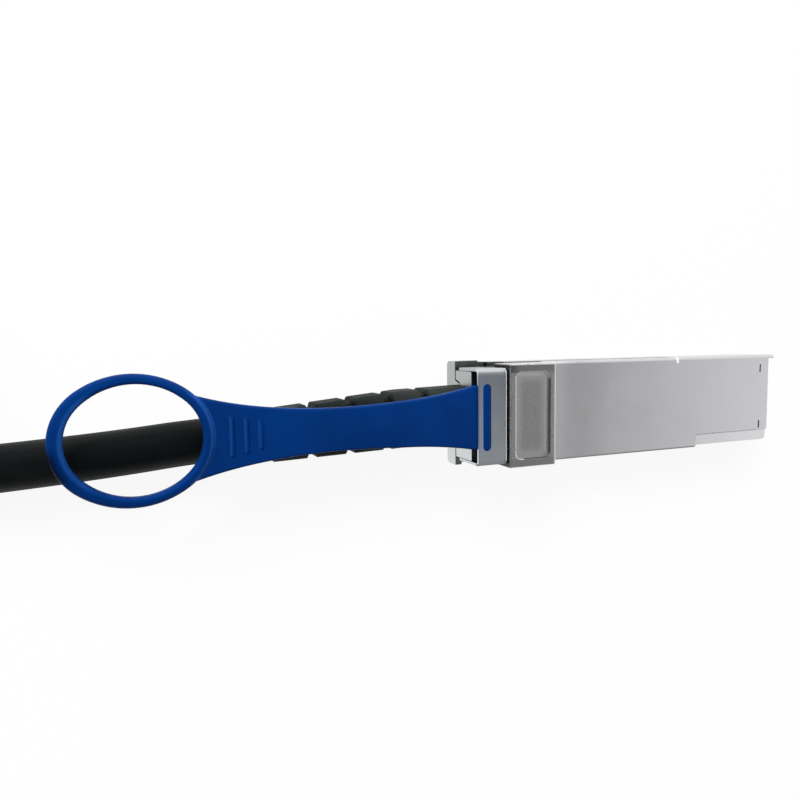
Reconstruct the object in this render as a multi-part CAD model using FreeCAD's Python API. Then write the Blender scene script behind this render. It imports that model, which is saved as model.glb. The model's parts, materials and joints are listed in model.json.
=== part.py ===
import FreeCAD, Part
import math
import os

Vec = FreeCAD.Vector

# Breakout cable: a four-lane plug with a sliding release, its cable, a splitter and four small plugs.
# Millimetres. X runs along the large plug towards its mating end, Y across it and Z up from the flat
# face that it lies on. X = 0 is the front face of the shoulder that stops against the cage.

# Fits
RUN_GAP = 0.1
SEAT_GAP = 0.05

# Large plug: housing
PLUG_W = 18.35
PLUG_H = 8.5
FRONT_L = 56.0
SHOULDER_L = 9.4
SHOULDER_W = 18.0
SHOULDER_H = 12.72
REAR_L = 15.1
REAR_W = 18.8
REAR_FLANGE_H = 3.25
REAR_WALL = 3.1
SPLIT_Z = 4.8
FLOOR_T = 1.0
ROOF_T = 1.0
GROOVE_WALL = 0.7
MOUTH_L = 23.5
MOUTH_WALL = 0.85
EDGE_R = 0.7
SHOULDER_R = 0.3
FLANGE_CHAMFER = 0.6
FLANGE_PLATE_L = 1.25
FLANGE_SHELF_H = 1.2
REAR_R = 0.4

# Large plug: cover plate details
PANEL_BACK = 4.67
PANEL_L = 6.64
PANEL_W = 14.9
PANEL_DEPTH = 0.55
PANEL_R = 1.0
PANEL_RIM_R = 0.3
LATCH_POCKET_END = 31.4
POCKET_NICK = 0.3
NICK_REACH = 1.1
KEY_START = 36.55
KEY_W = 2.65
KEY_STEP = 0.4
KEY_SETBACK = 0.5
KEY_R = 0.8
KEY_EDGE_R = 0.15
VENT_X = 53.5
VENT_L = 0.35
VENT_W = 1.6
VENT_Y = (6.4, -5.4)
VENT_DEPTH = 0.6
LIP_L = 1.5
LIP_W = 0.75
LIP_H = 3.0

# Large plug: seam across the rear face, with its step above the cable
SEAM_GAP = 0.3
SEAM_STEP_W = 12.0
SEAM_STEP_SLOPE = 0.55

# Large plug: release slider, bent from sheet
SHEET_T = 0.5
SLIDER_W = 16.7
SLIDER_TOP = 12.05
SLIDER_BEND_R = 0.9
SHEET_REAR_R = 0.15
SHEET_FRONT_R = 0.15
WEB_GAP = 0.15
ARM_H = 2.5
ARM_REACH = 15.0
TIP_L = 4.2
TIP_OUT = 0.65
SLOT_BACK = 13.45
SLOT_L = 11.5
SLOT_W = 1.55
RELEASE_TRAVEL = 2.4
TONGUE_W = 1.3
TONGUE_DEPTH = 3.45
SPRING_Y = 6.4
SPRING_POCKET_W = 1.6
SPRING_POCKET_H = 1.7
SPRING_SOLID_L = 1.3
SPRING_EDGE = 0.5
SPRING_FOLDS = 6

# Large plug: pull tab
TAB_T = 1.2
TAB_GAP = 0.9
TAB_END_MARGIN = 0.6
TAB_EDGE_R = 0.35
RING_CENTRE = 69.7
RING_Y = -0.3
RING_L = 22.2
RING_W = 19.05
RING_END_R = 8.8
OPENING_CENTRE = 69.4
OPENING_L = 18.65
OPENING_W = 16.1
OPENING_END_R = 7.2
RING_T = 2.2
RING_R = 0.6
RIB_COUNT = 3
RIB_FIRST = 51.8
RIB_PITCH = 2.15
RIB_W = 0.5
RIB_H = 0.3
RIB_SHORTEST = 4.1
RIB_GROWTH = 0.9
RIB_Y = -0.45
# Strap, at distances behind the shoulder's front face: its half width and how far it bends sideways.
STRAP_SHAPE = (
    (15.4, 5.5, 0.0),
    (24.0, 4.15, -0.22),
    (32.0, 3.62, -0.4),
    (40.0, 3.45, -0.48),
    (48.0, 3.85, -0.53),
    (55.0, 4.78, -0.53),
    (62.2, 6.6, -0.45),
)

# Large plug: inside
CARD_T = 1.0
CARD_Z = 3.7
CARD_W = 13.8
CARD_MOUTH_W = 16.4
CARD_REAR = 8.0
CARD_SETBACK = 1.5
CARD_LEDGE_W = 1.05
CARD_LEDGE_START = 13.0
CARD_LEDGE_L = 17.0
CLAMP_W = 10.0
CLAMP_H = 10.0
REAR_ROOF_T = 0.7
AXIS_Z = 5.2
FERRULE_R = 4.1
FERRULE_START = 9.0
FERRULE_L = 5.5
SADDLE_MARGIN = 0.8
CABLE_END_FRONT = 2.0
PAIR_W = 1.4
PAIR_T = 1.2
PAIR_PITCH_CABLE = 1.6
PAIR_PITCH_CARD = 3.4
PAIR_LAP = 4.0
SCREW_BACK = 4.7
SCREW_Y = 6.35
SCREW_R = 0.75
SCREW_HEAD_R = 1.35
SCREW_HEAD_H = 0.75
SCREW_SINK = 0.1
SCREW_L = 7.0

# Large plug: strain relief
BOOT_L = 33.9
BOOT_STRAIGHT = 12.0
BOOT_W = 10.4
BOOT_H = 8.4
BOOT_TIP_W = 8.3
BOOT_TIP_H = 7.8
BOOT_TIP_Y = -1.45
BOOT_R = 2.2
NECK_W = 7.6
NECK_H = 6.0
BOOT_FLANGE_W = 9.0
BOOT_FLANGE_H = 7.0
BOOT_FLANGE_T = 1.6
NOTCH_COUNT = 4
NOTCH_FIRST = 23.5
NOTCH_PITCH = 6.45
NOTCH_L = 1.8
NOTCH_FLOOR_L = 0.8
NOTCH_SIDE = 0.7
NOTCH_TOP = 1.5

# Cables
TRUNK_D = 7.0
LEG_D = 4.0
ARC_SHARE = 0.45

# Splitter
SPLITTER_TIP = -253.0
SPLITTER_Y = -5.0
SPLITTER_AXIS_Z = 5.0
SPLITTER_BODY_L = 28.0
SPLITTER_W = 18.0
SPLITTER_H = 11.0
SPLITTER_R = 2.0
TRUNK_COLLAR_L = 6.0
TRUNK_COLLAR_R = 4.4
TRUNK_COLLAR_ROOT_R = 4.9
LEG_COLLAR_L = 6.0
LEG_COLLAR_R = 2.5
LEG_COLLAR_ROOT_R = 2.75
LEG_EXIT_Y = 2.8
LEG_EXIT_Z = (3.0, 8.0)

# Tie round the four legs
TIE_START = -232.0
TIE_L = 8.0
TIE_T = 1.0
TIE_R = 2.4
TIE_LOW = (28.3, 0.0)
TIE_SIZE = (9.5, 10.4)

# Small plugs, in their own frame: X = 0 at the shoulder plane, latch side up
SFP_W = 13.55
SFP_H = 8.5
SFP_FRONT_L = 43.0
SFP_REAR_L = 13.5
SFP_REAR_WALL = 3.0
SFP_COVER_T = 0.6
SFP_WALL = 1.2
SFP_ROOF_Z = 6.6
SFP_EDGE_R = 0.5
SFP_AXIS_Z = 4.0
SFP_CHANNEL_W = 6.4
SFP_CHANNEL_DEPTH = 1.0
SFP_CHANNEL_END = 38.0
SFP_BOSS_X = 31.0
SFP_BOSS_L = 3.4
SFP_BOSS_W = 3.6
SFP_EAR_X = (-8.0, 20.0)
SFP_EAR_L = 4.0
SFP_EAR_H = 2.9
SFP_EAR_T = 0.3
SFP_CARD_T = 1.0
SFP_CARD_Z = 3.7
SFP_CARD_W = 10.8
SFP_CARD_EDGE_W = 9.2
SFP_CARD_REAR = 4.0
SFP_CARD_STEP = 30.0
SFP_CARD_SETBACK = 1.5
SFP_LEDGE_W = 0.9
SFP_LEDGE_T = 0.8
SFP_LEDGE_X = (6.0, 26.0)
SFP_POST_X = (9.0, 23.0)
SFP_POST_R = 0.8
SFP_STRIP_T = 0.7
SFP_STRIP_END = 30.0
SFP_WEDGE_L = 3.0
SFP_WEDGE_DROP = 0.45
SFP_TRAVEL = 2.0
SFP_SPRING_X = -8.4
SFP_SPRING_W = 1.8
SFP_STOP_L = 0.6
SFP_TAB_W = 8.4
SFP_TAB_T = 1.1
SFP_TAB_END = 38.0
SFP_TAB_R = 2.5
SFP_TAB_RIB_FIRST = 28.0
SFP_TAB_RIB_PITCH = 2.5
SFP_TAB_RIB_W = 0.8
SFP_TAB_RIB_L = 5.6
SFP_TAB_RIB_DEPTH = 0.3
SFP_BOOT_L = 16.0
SFP_BOOT_W = 8.0
SFP_BOOT_H = 5.6
SFP_BOOT_TIP = 5.6
SFP_BOOT_R = 1.6
SFP_NECK_W = 5.2
SFP_NECK_H = 4.2
SFP_NOTCH_COUNT = 3
SFP_NOTCH_FIRST = 17.5
SFP_NOTCH_PITCH = 3.6
SFP_NOTCH_W = 0.9
SFP_NOTCH_DEPTH = 0.7

# Where the small plugs lie: two beside each other and two on top of them.
INNER_PLUG = (-144.5, 24.0)
OUTER_PLUG = (-160.5, 38.3)

# Trunk route: X, Y, Z.
TRUNK_ROUTE = (
    (-49.0, -1.45, 5.0),
    (-58.0, -1.45, 5.0),
    (-74.0, -3.1, 4.6),
    (-98.0, -4.5, 4.1),
    (-130.0, -5.7, 3.7),
    (-172.0, -6.3, 3.55),
    (-212.0, -5.8, 3.75),
    (-238.0, -5.0, 5.0),
    (-253.0, -5.0, 5.0),
)

# Leg routes: X, Y, then Z of the lower leg and Z of the leg that lies on it.
INNER_ROUTE = (
    (-293.0, -2.2, 3.0, 8.0),
    (-310.4, -2.2, 3.0, 8.0),
    (-323.0, 10.4, 2.2, 6.6),
    (-323.0, 28.4, 2.05, 6.2),
    (-310.4, 41.0, 2.1, 6.25),
    (-290.0, 40.0, 2.1, 6.25),
    (-266.0, 36.2, 2.3, 6.45),
    (-240.0, 31.4, 3.15, 7.25),
    (-218.0, 30.2, 3.2, 7.3),
    (-199.0, 27.4, 3.6, 9.8),
    (-184.0, 24.0, 4.0, 12.5),
    (-174.0, 24.0, 4.0, 12.5),
)
OUTER_ROUTE = (
    (-293.0, -7.8, 3.0, 8.0),
    (-312.8, -7.8, 3.0, 8.0),
    (-328.4, 7.8, 2.2, 6.6),
    (-328.4, 29.8, 2.05, 6.2),
    (-312.8, 45.4, 2.1, 6.25),
    (-290.0, 44.4, 2.1, 6.25),
    (-266.0, 40.6, 2.3, 6.45),
    (-240.0, 36.0, 3.15, 7.25),
    (-218.0, 34.8, 3.2, 7.3),
    (-203.0, 38.3, 4.0, 12.5),
    (-190.0, 38.3, 4.0, 12.5),
)

# Derived places, large plug
plug_y = PLUG_W / 2
arm_out = SLIDER_W / 2
arm_in = arm_out - SHEET_T
side_y = arm_in - RUN_GAP
cavity_y = side_y - GROOVE_WALL
mouth_y = plug_y - MOUTH_WALL
mouth_x = FRONT_L - MOUTH_L
arm_z0 = SPLIT_Z + RUN_GAP
arm_z1 = arm_z0 + ARM_H
groove_z1 = arm_z1 + RUN_GAP
cavity_z1 = PLUG_H - ROOF_T
web_z0 = SLIDER_TOP - SHEET_T
tab_z0 = web_z0 - TAB_T
rear_top = tab_z0 - TAB_GAP
web_front = -(SHOULDER_L + WEB_GAP)
rear_x = -REAR_L
clamp_x0 = rear_x + REAR_WALL
spring_l = RELEASE_TRAVEL + SPRING_SOLID_L
pocket_x0 = web_front - SHEET_T - spring_l
sfp_spring_l = SFP_TRAVEL + SPRING_SOLID_L


def box(x0, x1, y0, y1, z0, z1):
    return Part.makeBox(x1 - x0, y1 - y0, z1 - z0, Vec(x0, y0, z0))


def bar(x0, x1, half_y, z0, z1):
    """Block that lies evenly across the XZ plane."""
    return box(x0, x1, -half_y, half_y, z0, z1)


def mirrored(shape):
    """The shape's mirror image across the XZ plane."""
    return shape.mirror(Vec(0, 0, 0), Vec(0, 1, 0))


def pair(shape):
    """The shape together with its mirror image."""
    return [shape, mirrored(shape)]


def rectangle(a0, a1, b0, b1, radius=0):
    return [(a0, b0, radius), (a1, b0, radius), (a1, b1, radius), (a0, b1, radius)]


def rounded_wire(corners, place):
    """Closed wire through (a, b, radius) corners; place turns a and b into a point in space."""
    flat = [Vec(a, b, 0) for a, b, _ in corners]
    ends = []
    edges = []
    for i, (_, _, radius) in enumerate(corners):
        back = (flat[i - 1] - flat[i]).normalize()
        ahead = (flat[(i + 1) % len(flat)] - flat[i]).normalize()
        half = back.getAngle(ahead) / 2
        cut = radius / math.tan(half)
        start = flat[i] + back * cut
        end = flat[i] + ahead * cut
        ends.append((start, end))
        if radius:
            middle = flat[i] + (back + ahead).normalize() * (radius / math.sin(half) - radius)
            arc = [place(p.x, p.y) for p in (start, middle, end)]
            edges.append(Part.Arc(*arc).toShape())
    for i, (_, end) in enumerate(ends):
        start = ends[(i + 1) % len(ends)][0]
        if (start - end).Length > 1e-6:
            edges.append(Part.LineSegment(place(end.x, end.y), place(start.x, start.y)).toShape())
    return Part.Wire(Part.__sortEdges__(edges))


def slab(corners, z0, z1):
    """Plan outline (x, y, radius) raised from z0 to z1."""
    wire = rounded_wire(corners, lambda a, b: Vec(a, b, z0))
    return Part.Face(wire).extrude(Vec(0, 0, z1 - z0))


def rail(corners, x0, x1):
    """Cross-section (y, z, radius) drawn from x0 to x1."""
    wire = rounded_wire(corners, lambda a, b: Vec(x0, a, b))
    return Part.Face(wire).extrude(Vec(x1 - x0, 0, 0))


def rod(x0, x1, y, z, radius):
    return Part.makeCylinder(radius, x1 - x0, Vec(x0, y, z), Vec(1, 0, 0))


def stub(x0, x1, y, z, r0, r1):
    """Cone along X, with radius r0 at x0 and r1 at x1."""
    return Part.makeCone(r0, r1, x1 - x0, Vec(x0, y, z), Vec(1, 0, 0))


def post(x, y, z0, z1, radius):
    return Part.makeCylinder(radius, z1 - z0, Vec(x, y, z0))


def section(x, y, z, width, height, radius):
    """Rounded rectangle square to X, for lofts."""
    corners = rectangle(y - width / 2, y + width / 2, z - height / 2, z + height / 2, radius)
    return rounded_wire(corners, lambda a, b: Vec(x, a, b))


def fuse(shapes):
    return shapes[0].multiFuse(shapes[1:]).removeSplitter()


def save(name, shape):
    shape.exportStep("parts/" + name + ".step")


def clamp_cavity():
    """Room in both shells for the boot's flange, the ferrule and the cable's end."""
    rear = bar(clamp_x0, -SHOULDER_L, CLAMP_W / 2, FLOOR_T, rear_top - REAR_ROOF_T)
    middle = bar(-SHOULDER_L, 0, CLAMP_W / 2, FLOOR_T, CLAMP_H)
    neck = bar(rear_x, clamp_x0, NECK_W / 2 + SEAT_GAP, AXIS_Z - NECK_H / 2 - SEAT_GAP,
               AXIS_Z + NECK_H / 2 + SEAT_GAP)
    return fuse([rear, middle, neck])


def front_cavity():
    """Room for the board, open at the mating end."""
    back = bar(0, mouth_x, cavity_y, FLOOR_T, cavity_z1)
    mouth = bar(mouth_x, FRONT_L + LIP_L, mouth_y, FLOOR_T, cavity_z1)
    return fuse([back, mouth])


def ferrule_saddle(z0, z1):
    """Block between two heights that holds the ferrule."""
    x0 = -FERRULE_START + SADDLE_MARGIN
    block = bar(x0, x0 + FERRULE_L - 2 * SADDLE_MARGIN, CLAMP_W / 2, z0, z1)
    return block.cut(rod(-FERRULE_START, 0, 0, AXIS_Z, FERRULE_R + SEAT_GAP))


def screw(radius, head_radius, z0, z1):
    """Screw, or its hole: a shank from z0 to z1 with its head at z0."""
    shank = post(-SCREW_BACK, SCREW_Y, z0, z1, radius)
    head = post(-SCREW_BACK, SCREW_Y, z0, SCREW_SINK + SCREW_HEAD_H, head_radius)
    return shank.fuse(head).removeSplitter()


def seam_step(grow):
    """Raised middle of the lower shell's rear wall, where the seam steps up above the cable."""
    low = SEAM_STEP_W / 2 + grow
    high = low - SEAM_STEP_SLOPE
    top = SPLIT_Z + grow
    corners = [(-low, REAR_FLANGE_H, 0), (low, REAR_FLANGE_H, 0), (high, top, 0), (-high, top, 0)]
    return rail(corners, rear_x, clamp_x0)


def bottom_shell():
    c = FLANGE_CHAMFER
    half = REAR_W / 2
    flange_section = [(-half + c, 0, 0), (half - c, 0, 0), (half, c, 0), (half, REAR_FLANGE_H, 0),
                      (-half, REAR_FLANGE_H, 0), (-half, c, 0)]
    tray_section = [(-plug_y, 0, EDGE_R), (plug_y, 0, EDGE_R), (plug_y, SPLIT_Z, 0), (-plug_y, SPLIT_Z, 0)]
    tray = fuse([
        rail(flange_section, rear_x, -SHOULDER_L),
        rail(tray_section, -SHOULDER_L, FRONT_L),
        seam_step(0),
    ])
    shelf = box(rear_x + FLANGE_PLATE_L, -SHOULDER_L, side_y, half, FLANGE_SHELF_H, REAR_FLANGE_H)
    hole = screw(SCREW_R + SEAT_GAP, SCREW_HEAD_R + SEAT_GAP, 0, SPLIT_Z)
    tray = tray.cut([clamp_cavity(), front_cavity()] + pair(shelf) + pair(hole))
    ledge = box(CARD_LEDGE_START, CARD_LEDGE_START + CARD_LEDGE_L, cavity_y - CARD_LEDGE_W, cavity_y,
                FLOOR_T, CARD_Z)
    return fuse([tray, ferrule_saddle(FLOOR_T, SPLIT_Z)] + pair(ledge))


def cover_cuts():
    """Key step, vents and pocket nick in the cover plate."""
    key_y = plug_y - KEY_W
    edge = plug_y - KEY_SETBACK
    step = box(KEY_START, FRONT_L, -plug_y, -key_y, PLUG_H - KEY_STEP, PLUG_H)
    r = KEY_EDGE_R
    bead = box(KEY_START, FRONT_L, -key_y, -key_y + r, PLUG_H - r, PLUG_H)
    bead = bead.cut(rod(KEY_START, FRONT_L, -key_y + r, PLUG_H - r, r))
    setback = box(KEY_START, FRONT_L, -plug_y, -edge, SPLIT_Z, PLUG_H)
    corner = box(FRONT_L - KEY_R, FRONT_L, -edge, -edge + KEY_R, SPLIT_Z, PLUG_H)
    corner = corner.cut(post(FRONT_L - KEY_R, -edge + KEY_R, SPLIT_Z, PLUG_H, KEY_R))
    vents = [box(VENT_X, VENT_X + VENT_L, y - VENT_W / 2, y + VENT_W / 2, PLUG_H - VENT_DEPTH, PLUG_H)
             for y in VENT_Y]
    n = POCKET_NICK
    start = plug_y - NICK_REACH
    nick = Part.makePolygon([Vec(LATCH_POCKET_END + x, start, PLUG_H - z)
                             for x, z in ((-n, 0), (n, 0), (0, n), (-n, 0))])
    return [step, bead, setback, corner, Part.Face(nick).extrude(Vec(0, NICK_REACH, 0))] + vents


def shoulder():
    block = bar(-SHOULDER_L, 0, SHOULDER_W / 2, SPLIT_Z, SHOULDER_H)
    rounded = [e for e in block.Edges if e.CenterOfMass.z > (SPLIT_Z + SHOULDER_H) / 2 - 1e-3]
    block = block.makeFillet(SHOULDER_R, rounded)
    panel_x0 = -PANEL_BACK - PANEL_L / 2
    panel_x1 = panel_x0 + PANEL_L
    outline = rectangle(panel_x0, panel_x1, -PANEL_W / 2, PANEL_W / 2, PANEL_R)
    block = block.cut(slab(outline, SHOULDER_H - PANEL_DEPTH, SHOULDER_H + PANEL_DEPTH))
    rim = []
    for edge in block.Edges:
        middle = edge.CenterOfMass
        beside = abs(middle.y) < PANEL_W / 2 + 1e-3
        if beside and panel_x0 - 1e-3 < middle.x < panel_x1 + 1e-3 and middle.z > SHOULDER_H - 1e-3:
            rim.append(edge)
    return block.makeFillet(PANEL_RIM_R, rim)


def top_shell():
    cover_section = [(-plug_y, SPLIT_Z, 0), (plug_y, SPLIT_Z, 0), (plug_y, PLUG_H, EDGE_R),
                     (-plug_y, PLUG_H, EDGE_R)]
    rear_z0 = REAR_FLANGE_H + SEAM_GAP
    rear_section = [(-side_y, rear_z0, 0), (side_y, rear_z0, 0), (side_y, rear_top, REAR_R),
                    (-side_y, rear_top, REAR_R)]
    lip_end = FRONT_L + LIP_L
    lip = rail(cover_section, FRONT_L, lip_end).common(
        box(FRONT_L, lip_end, plug_y - LIP_W, plug_y, PLUG_H - LIP_H, PLUG_H))
    cover = rail(cover_section, 0, FRONT_L).cut(cover_cuts())
    shell = fuse([cover, lip, shoulder(), rail(rear_section, rear_x, -SHOULDER_L)])
    groove = box(-SHOULDER_L, LATCH_POCKET_END, side_y, plug_y, SPLIT_Z, groove_z1)
    spring_pocket = box(pocket_x0, -SHOULDER_L, SPRING_Y - SPRING_POCKET_W / 2,
                        SPRING_Y + SPRING_POCKET_W / 2, rear_top - SPRING_POCKET_H, rear_top)
    hole = post(-SCREW_BACK, SCREW_Y, SPLIT_Z, SCREW_SINK + SCREW_L + SEAT_GAP, SCREW_R + SEAT_GAP)
    shell = shell.cut([seam_step(SEAM_GAP), clamp_cavity(), front_cavity()]
                      + pair(groove) + pair(spring_pocket) + pair(hole))
    return fuse([shell, ferrule_saddle(SPLIT_Z, CLAMP_H)])


def slot_outline(length, width, x, y=0):
    """Round-ended slot across the plug, centred at x and y."""
    return rectangle(x - width / 2, x + width / 2, y - length / 2, y + length / 2, width / 2 - 1e-3)


def end_edges(shape, x):
    """Edges of the end face at x, apart from those at its foot."""
    foot = shape.BoundBox.ZMin
    return [e for e in shape.Edges if e.BoundBox.XLength < 1e-6 and abs(e.BoundBox.XMin - x) < 1e-6
            and e.BoundBox.ZMax > foot + 1e-3]


def release_slider():
    inner_r = SLIDER_BEND_R - SHEET_T
    outer = rail([(-arm_out, arm_z0, 0), (arm_out, arm_z0, 0), (arm_out, SLIDER_TOP, SLIDER_BEND_R),
                  (-arm_out, SLIDER_TOP, SLIDER_BEND_R)], rear_x, web_front)
    outer = outer.makeFillet(SHEET_REAR_R, end_edges(outer, rear_x))
    outer = outer.makeFillet(SHEET_FRONT_R, end_edges(outer, web_front))
    inner = rail([(-arm_in, arm_z0, 0), (arm_in, arm_z0, 0), (arm_in, web_z0, inner_r),
                  (-arm_in, web_z0, inner_r)], rear_x, web_front)
    slot = slab(slot_outline(SLOT_L, SLOT_W, -SLOT_BACK), web_z0, SLIDER_TOP)
    frame = outer.cut([inner, slot])
    arm = box(web_front - SHEET_FRONT_R, ARM_REACH, arm_in, arm_out, arm_z0, arm_z1)
    bend = ARM_REACH + TIP_L / 2
    end = ARM_REACH + TIP_L
    tip = slab([(ARM_REACH, arm_in, 0), (bend, arm_in + TIP_OUT, 0), (end, arm_in + TIP_OUT, 0),
                (end, arm_out + TIP_OUT, 0), (bend, arm_out + TIP_OUT, 0), (ARM_REACH, arm_out, 0)],
               arm_z0, arm_z1)
    tongue = box(web_front - SHEET_T, web_front, SPRING_Y - TONGUE_W / 2, SPRING_Y + TONGUE_W / 2,
                 web_z0 - TONGUE_DEPTH, web_z0)
    return fuse([frame] + pair(arm) + pair(tip) + pair(tongue))


def strap_side(side):
    """Long edge of the strap on one side, from the slider to the ring."""
    curve = Part.BSplineCurve()
    curve.interpolate([Vec(-back, middle + side * half, tab_z0) for back, half, middle in STRAP_SHAPE])
    return curve.toShape()


def strap():
    """Waisted strap of the pull tab, from under the slider's web to the ring."""
    end = -(SLOT_BACK - SLOT_W / 2 - TAB_END_MARGIN)
    sides = [strap_side(1), strap_side(-1)]
    upper, lower = [side.Vertexes for side in sides]
    root = STRAP_SHAPE[0][1]
    corners = [upper[0].Point, Vec(end, root, tab_z0), Vec(end, -root, tab_z0), lower[0].Point]
    lines = [Part.LineSegment(a, b).toShape() for a, b in zip(corners, corners[1:])]
    lines.append(Part.LineSegment(upper[1].Point, lower[1].Point).toShape())
    body = Part.Face(Part.Wire(Part.__sortEdges__(sides + lines))).extrude(Vec(0, 0, TAB_T))
    top = tab_z0 + TAB_T - 1e-3
    return body.makeFillet(TAB_EDGE_R, [e for e in body.Edges
                                        if e.BoundBox.ZMin > top and e.Length > STRAP_SHAPE[0][0]])


def oval(length, width, end_r, centre, z0, z1):
    """Prism on an oval of four tangent arcs."""
    a, b = length / 2, width / 2
    flat = a - end_r
    side_r = (flat ** 2 + b ** 2 - end_r ** 2) / (2 * (b - end_r))
    lean = math.atan2(side_r - b, flat)
    tx, ty = flat + end_r * math.cos(lean), end_r * math.sin(lean)

    def at(x, y):
        return Vec(x - centre, y + RING_Y, z0)

    arcs = [
        Part.Arc(at(tx, -ty), at(a, 0), at(tx, ty)),
        Part.Arc(at(tx, ty), at(0, b), at(-tx, ty)),
        Part.Arc(at(-tx, ty), at(-a, 0), at(-tx, -ty)),
        Part.Arc(at(-tx, -ty), at(0, -b), at(tx, -ty)),
    ]
    wire = Part.Wire([arc.toShape() for arc in arcs])
    return Part.Face(wire).extrude(Vec(0, 0, z1 - z0))


def pull_tab():
    z0 = tab_z0 + TAB_T / 2 - RING_T / 2
    z1 = z0 + RING_T
    hole = oval(OPENING_L, OPENING_W, OPENING_END_R, OPENING_CENTRE, z0, z1)
    band = oval(RING_L, RING_W, RING_END_R, RING_CENTRE, z0, z1).cut(hole)
    rims = [e for e in band.Edges if e.BoundBox.ZLength < 1e-6]
    band = band.makeFillet(RING_R, rims)
    key = slab(slot_outline(SLOT_L - 2 * SEAT_GAP, SLOT_W - 2 * SEAT_GAP, -SLOT_BACK),
               web_z0, SLIDER_TOP - SEAT_GAP)
    ribs = []
    for i in range(RIB_COUNT):
        x = -(RIB_FIRST + i * RIB_PITCH)
        outline = slot_outline(RIB_SHORTEST + i * RIB_GROWTH, RIB_W, x, RIB_Y)
        ribs.append(slab(outline, web_z0, web_z0 + RIB_H))
    return fuse([strap().cut(hole), band, key] + ribs)


def boot_at(x):
    """Middle, width and height of the strain relief at x."""
    share = (rear_x - x) / BOOT_L
    bend = max(0.0, (rear_x - BOOT_STRAIGHT - x) / (BOOT_L - BOOT_STRAIGHT))
    width = BOOT_W + (BOOT_TIP_W - BOOT_W) * share
    height = BOOT_H + (BOOT_TIP_H - BOOT_H) * share
    drop = (AXIS_Z - TRUNK_ROUTE[0][2]) * bend
    return BOOT_TIP_Y * bend, AXIS_Z - drop, width, height


def boot_section(x, notched):
    """Outline of the strain relief at x, drawn in where a notch runs round it."""
    y, z, width, height = boot_at(x)
    side, top = (NOTCH_SIDE, NOTCH_TOP) if notched else (0, 0)
    return section(x, y, z, width - 2 * side, height - 2 * top, BOOT_R - side)


def strain_relief():
    stations = [(rear_x, False), (rear_x - BOOT_STRAIGHT, False), (rear_x - BOOT_L, False)]
    for i in range(NOTCH_COUNT):
        x = -(NOTCH_FIRST + i * NOTCH_PITCH)
        for side in (-1, 1):
            stations.append((x + side * NOTCH_L / 2, False))
            stations.append((x + side * NOTCH_FLOOR_L / 2, True))
    stations.sort()
    boot = Part.makeLoft([boot_section(x, notched) for x, notched in stations], True, True)
    neck = bar(rear_x, clamp_x0, NECK_W / 2, AXIS_Z - NECK_H / 2, AXIS_Z + NECK_H / 2)
    flange = bar(clamp_x0, clamp_x0 + BOOT_FLANGE_T, BOOT_FLANGE_W / 2, AXIS_Z - BOOT_FLANGE_H / 2,
                 AXIS_Z + BOOT_FLANGE_H / 2)
    return fuse([boot, neck, flange])


def paddle_card():
    step = mouth_x + (mouth_y - cavity_y)
    front = FRONT_L - CARD_SETBACK
    narrow = CARD_W / 2
    wide = CARD_MOUTH_W / 2
    corners = [(CARD_REAR, -narrow, 0), (step, -narrow, 0), (step, -wide, 0), (front, -wide, 0),
               (front, wide, 0), (step, wide, 0), (step, narrow, 0), (CARD_REAR, narrow, 0)]
    return slab(corners, CARD_Z, CARD_Z + CARD_T)


def twinax_pairs():
    """Conductor pairs that fan out from the cable onto both faces of the board."""
    start = -CABLE_END_FRONT
    half = PAIR_W / 2
    bars = []
    for lane in (-1.5, -0.5, 0.5, 1.5):
        near = lane * PAIR_PITCH_CABLE
        far = lane * PAIR_PITCH_CARD
        corners = [(start, near - half, 0), (CARD_REAR, far - half, 0), (CARD_REAR + PAIR_LAP, far - half, 0),
                   (CARD_REAR + PAIR_LAP, far + half, 0), (CARD_REAR, far + half, 0), (start, near + half, 0)]
        for z0 in (CARD_Z - PAIR_T, CARD_Z + CARD_T):
            bars.append(slab(corners, z0, z0 + PAIR_T))
    return Part.makeCompound(bars)


def folded_spring(x0, length, low, high, place):
    """Outline of a strip folded to and fro between low and high along X."""
    step = length / SPRING_FOLDS
    ridge = [(x0 + i * step, high - SPRING_EDGE if i % 2 else low) for i in range(SPRING_FOLDS + 1)]
    under = [place(x, h) for x, h in ridge]
    over = [place(x, h + SPRING_EDGE) for x, h in ridge]
    points = under + over[::-1]
    return Part.Face(Part.makePolygon(points + points[:1]))


def return_springs():
    low = rear_top - SPRING_POCKET_H + SEAT_GAP
    high = rear_top - SEAT_GAP
    y0 = SPRING_Y - TONGUE_W / 2
    face = folded_spring(pocket_x0, spring_l, low, high, lambda a, b: Vec(a, y0, b))
    return Part.makeCompound(pair(face.extrude(Vec(0, TONGUE_W, 0))))


def shell_screws():
    return Part.makeCompound(pair(screw(SCREW_R, SCREW_HEAD_R, SCREW_SINK, SCREW_SINK + SCREW_L)))


def crimp_ferrule():
    x1 = -FERRULE_START + FERRULE_L
    sleeve = rod(-FERRULE_START, x1, 0, AXIS_Z, FERRULE_R)
    return sleeve.cut(rod(-FERRULE_START, x1, 0, AXIS_Z, TRUNK_D / 2 + SEAT_GAP))


def cable_end():
    return rod(clamp_x0 + BOOT_FLANGE_T, -CABLE_END_FRONT, 0, AXIS_Z, TRUNK_D / 2)


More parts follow.
